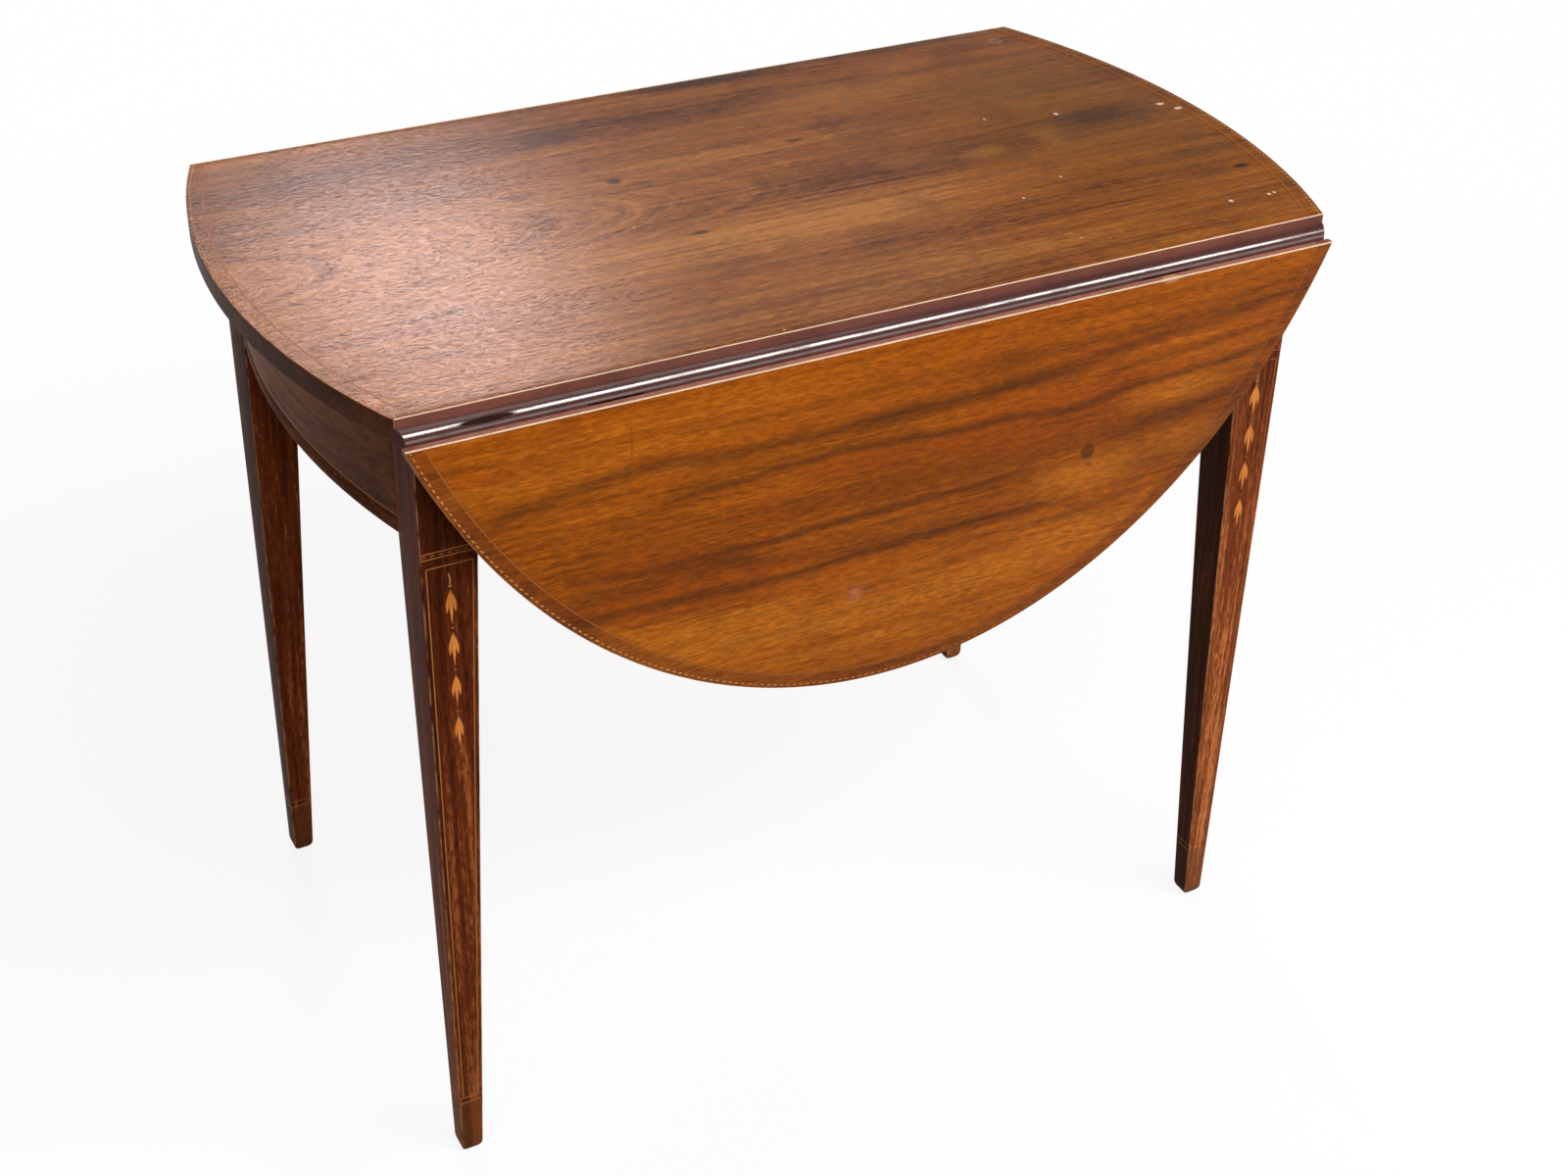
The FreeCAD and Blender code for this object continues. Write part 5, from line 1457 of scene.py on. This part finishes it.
class TABLE_OT_rails(bpy.types.Operator):
    """Dress the bowed end rail and the rails of the drawer end"""
    bl_idname = "table.dress_rails"
    bl_label = "Rails"

    def execute(self, context):
        arris = context.scene.table_sizes.arris
        low, high = STRING_LOW.z - 0.5 * MM, STRING_HIGH.z + 0.5 * MM

        def clear_of_string(edge):
            return not any(low < v.co.z < high for v in edge.verts)

        for node, wanted in (("end_rail_left", clear_of_string), ("drawer_rail_lower", None),
                             ("drawer_rail_upper", None)):
            softened_copy(node, arris, "rail_mahogany", "rail_mahogany", "root", wanted)
        dress("end_rail_stringing", "boxwood_rail")
        return {"FINISHED"}


# A turned knob from its foot to its head: share of its length, share of its radius
KNOB_OUTLINE = (
    (0, 0.72), (0.05, 0.74), (0.1, 0.74), (0.14, 0.68), (0.16, 0.56), (0.24, 0.46), (0.34, 0.42),
    (0.44, 0.47), (0.5, 0.6), (0.53, 0.72), (0.56, 0.72), (0.58, 0.84), (0.64, 0.95), (0.71, 1.0),
    (0.78, 0.99), (0.85, 0.92), (0.9, 0.8), (0.94, 0.62), (0.97, 0.44), (0.985, 0.3), (1.0, 0.12))
# From the back of the drawer front to where the edges of its face begin
FACE_START = 18 * MM


class TABLE_OT_drawer(bpy.types.Operator):
    """Dress the drawer and turn its knob"""
    bl_idname = "table.make_drawer"
    bl_label = "Drawer"

    def execute(self, context):
        def on_face(edge):
            return all(v.co.x > FRONT_LOW.x + FACE_START for v in edge.verts)

        arris = context.scene.table_sizes.arris
        softened_copy("drawer_front", arris, "rail_mahogany", "rail_mahogany", "drawer", on_face)
        for node, oak in (("drawer_side_front", "drawer_oak"), ("drawer_side_back", "drawer_oak"),
                          ("drawer_back", "drawer_oak_cross"), ("drawer_bottom", "drawer_oak_cross")):
            inner_copy(node, oak, "drawer_oak", "drawer")
        dress("drawer_knob_nut", "knob_brass")
        self.knob()
        return {"FINISHED"}

    def knob(self):
        """A turned knob with a stepped foot, a waist and a domed head, on its threaded shank."""
        base = FRONT_HIGH.x
        tall = KNOB_HIGH.x - base
        radius = (KNOB_HIGH.y - KNOB_LOW.y) / 2
        middle = (KNOB_HIGH.z + KNOB_LOW.z) / 2
        shank = radius / 3
        turned = [(KNOB_LOW.x, shank * 0.7), (KNOB_LOW.x + 0.5 * MM, shank), (base, shank)]
        turned += [(base + t * tall, r * radius) for t, r in KNOB_OUTLINE]
        bm = bmesh.new()
        skin(bm, [[(x, r * math.cos(t), middle + r * math.sin(t)) for t in circle(48)] for x, r in turned])
        make_piece("drawer_knob_turned", bm, finish("knob_brass"), "drawer", "knob_brass", "drawer_knob",
                   smooth=50)


class TABLE_OT_carcase(bpy.types.Operator):
    """Dress the inner rails, fly brackets, runners and blocks"""
    bl_idname = "table.dress_carcase"
    bl_label = "Carcase"

    def execute(self, context):
        for side in SIDES:
            inner_copy(f"side_rail_{side}", "carcase_pine", "carcase_pine")
            inner_copy(f"fly_rail_{side}", "fly_beech", "fly_beech")
            for piece in ("runner", "kicker"):
                inner_copy(f"drawer_{piece}_{side}", "carcase_pine", "carcase_pine")
            dress(f"fly_pins_{side}", "screw_iron")
        for side, end in LEGS:
            inner_copy(f"fly_bracket_{side}_{end}", "fly_beech", "fly_beech", f"fly_{side}_{end}")
        inner_copy("glue_blocks", "block_pine", "carcase_pine")
        for node in ("top_screws", "fly_rail_screws"):
            dress(node, "screw_iron")
        return {"FINISHED"}


class TABLE_OT_hinges(bpy.types.Operator):
    """Dress the iron hinges and their screws"""
    bl_idname = "table.dress_hinges"
    bl_label = "Hinges"

    def execute(self, context):
        for side, end in LEGS:
            for part in ("top_flap", "leaf_flap", "pin"):
                dress(f"hinge_{side}_{end}_{part}", "hinge_iron")
        for side in SIDES:
            for part in ("top", "leaf"):
                dress(f"hinge_screws_{side}_{part}", "screw_iron")
        return {"FINISHED"}


# Soft boxes: name, power, share of it, place, width and height. All but the key face AIM_HEIGHT
# over the table's middle; the key faces straight back
SOFT_BOXES = (
    ("key", "key_power", 1.0, (1.2, -2.2, 2.75), 5.0, 1.0),
    ("fill", "fill_power", 1.0, (-2.6, -2.0, 1.9), 1.8, 1.8),
    ("overhead", "top_power", 1.0, (0.3, 0.1, 3.3), 1.8, 1.8),
    ("sheen left", "sheen_power", 0.8, (0.35, 3.3, 2.72), 0.9, 0.9),
    ("sheen near", "sheen_power", 0.72, (0.68, 3.3, 2.97), 0.8, 0.8),
    ("sheen wide", "sheen_power", 0.22, (1.35, 3.3, 2.75), 2.2, 1.3),
)
AIM_HEIGHT = 0.55
# The floor, and how white it looks from where its shadow is full to where it has faded
FLOOR_RADIUS, FLOOR_DROP = 14.0, 0.2 * MM
SHADOW_FADE, FLOOR_WHITE = (0.6, 2.2), (0.85, 0.99)
# Heights of a mirrored ray between which the white horizon gives way to the ceiling
HORIZON = (0.01, 0.11)
CAMERA_PLACE, SENSOR_WIDTH = (-0.8350, -1.5965, 1.4915), 36
CAMERA_RIGHT = Vector((0.88340347, -0.46812503, 0.02138386))
CAMERA_UP = Vector((0.23871543, 0.48881192, 0.83909347))


class TABLE_OT_stage(bpy.types.Operator):
    """Set up the floor, the soft light and the camera"""
    bl_idname = "table.set_stage"
    bl_label = "Stage"

    def execute(self, context):
        look = context.scene.table_stage
        self.floor(look)
        self.world(context.scene, look)
        for name, setting, part, spot, width, height in SOFT_BOXES:
            lamp = self.lamp(name, getattr(look, setting) * part, Vector(spot), width, height)
            if name.startswith("sheen"):
                lamp.data.color = look.sheen_colour[:3]
        self.camera(context.scene, look)
        context.scene.view_settings.view_transform = "Standard"
        return {"FINISHED"}

    def floor(self, look):
        """A wide floor that keeps a soft shadow and looks nearly white to the camera and to polish."""
        bm = bmesh.new()
        bm.faces.new([bm.verts.new((FLOOR_RADIUS * math.cos(t), FLOOR_RADIUS * math.sin(t), -FLOOR_DROP))
                      for t in circle(96)])
        material = bpy.data.materials.new("floor")
        w = empty_tree(material)
        direct = seen_directly(w)
        plain = w.add("ShaderNodeBsdfDiffuse", {"Color": w.mix(direct, look.floor, WHITE)})
        white = w.add("ShaderNodeEmission", {"Color": WHITE, "Strength": 1.0})
        away = w.step(w.vector("LENGTH", w.place()), *SHADOW_FADE)
        seen = w.times(direct, w.between(away, *FLOOR_WHITE))
        both = w.add("ShaderNodeMixShader", {0: seen, 1: plain.outputs[0], 2: white.outputs[0]})
        w.add("ShaderNodeOutputMaterial", {0: both.outputs[0]})
        mesh = new_mesh("floor", bm)
        mesh.materials.append(material)
        piece = new_object("floor", mesh)

    def world(self, scene, look):
        """White around the horizon, a dark ceiling for polish to mirror, even light for the rest."""
        scene.world = bpy.data.worlds.new("studio")
        w = empty_tree(scene.world)
        height = w.parts(w.add("ShaderNodeTexCoord").outputs["Generated"])[2]
        mirrored = w.add("ShaderNodeLightPath").outputs["Is Glossy Ray"]
        overhead = w.times(w.step(height, *HORIZON), mirrored)
        seen = w.add("ShaderNodeBackground", {"Color": w.mix(overhead, WHITE, look.ceiling), "Strength": 1.0})
        lit = w.add("ShaderNodeBackground", {"Color": WHITE, "Strength": look.ambient})
        both = w.add("ShaderNodeMixShader", {0: seen_directly(w), 1: lit.outputs[0], 2: seen.outputs[0]})
        w.add("ShaderNodeOutputWorld", {0: both.outputs[0]})

    def lamp(self, name, power, spot, width, height):
        """A soft box turned to the table."""
        light = bpy.data.lights.new(name, "AREA")
        light.shape = "RECTANGLE"
        light.size, light.size_y = width, height
        light.energy = power
        lamp = new_object(name, light)
        aim = Vector((spot.x if name == "key" else 0, 0, AIM_HEIGHT)) - spot
        lamp.matrix_world = Matrix.Translation(spot) @ aim.to_track_quat("-Z", "Y").to_matrix().to_4x4()
        lamp.visible_camera = False
        return lamp

    def camera(self, scene, look):
        """The photograph's viewpoint."""
        data = bpy.data.cameras.new("camera")
        data.lens = look.lens
        data.sensor_width = SENSOR_WIDTH
        camera = new_object("camera", data)
        turn = Matrix((CAMERA_RIGHT, CAMERA_UP, CAMERA_RIGHT.cross(CAMERA_UP))).transposed().to_4x4()
        camera.matrix_world = Matrix.Translation(CAMERA_PLACE) @ turn
        scene.camera = camera


def seen_directly(w):
    """1 for rays from the camera and rays mirrored or passed on to it, 0 for the light that falls."""
    path = w.add("ShaderNodeLightPath").outputs
    either = w.larger(path["Is Camera Ray"], path["Is Glossy Ray"])
    return w.larger(either, path["Is Transmission Ray"])


BUILDERS = (TABLE_OT_top, TABLE_OT_leaves, TABLE_OT_legs, TABLE_OT_stringing, TABLE_OT_leg_inlay,
            TABLE_OT_rails, TABLE_OT_drawer, TABLE_OT_carcase, TABLE_OT_hinges, TABLE_OT_stage)
SETTINGS = {"table_sizes": TableSizes, "table_inlay": InlaySizes, "table_colours": TableColours,
            "table_stage": StageLook}


class TABLE_PT_panel(bpy.types.Panel):
    """Lists the table's sizes, colours and builders"""
    bl_idname = "TABLE_PT_panel"
    bl_label = "Pembroke table"
    bl_space_type = "VIEW_3D"
    bl_region_type = "UI"
    bl_category = "Table"

    def draw(self, context):
        for name in SETTINGS:
            group = getattr(context.scene, name)
            box = self.layout.box()
            for key in group.__annotations__:
                box.prop(group, key)
        for builder in BUILDERS:
            self.layout.operator(builder.bl_idname)


def register():
    for group in SETTINGS.values():
        bpy.utils.register_class(group)
    for builder in BUILDERS + (TABLE_PT_panel,):
        bpy.utils.register_class(builder)
    for name, group in SETTINGS.items():
        setattr(bpy.types.Scene, name, PointerProperty(type=group))


def unregister():
    for name in SETTINGS:
        delattr(bpy.types.Scene, name)
    for builder in reversed(BUILDERS + (TABLE_PT_panel,)):
        bpy.utils.unregister_class(builder)
    for group in reversed(list(SETTINGS.values())):
        bpy.utils.unregister_class(group)


def main():
    """Builds every piece in order."""
    register()
    bpy.ops.table.make_top()
    bpy.ops.table.make_leaves()
    bpy.ops.table.make_legs()
    bpy.ops.table.lay_stringing()
    bpy.ops.table.lay_leg_inlay()
    bpy.ops.table.dress_rails()
    bpy.ops.table.make_drawer()
    bpy.ops.table.dress_carcase()
    bpy.ops.table.dress_hinges()
    bpy.ops.table.set_stage()
    bpy.context.view_layer.update()


if __name__ == "__main__":
    main()
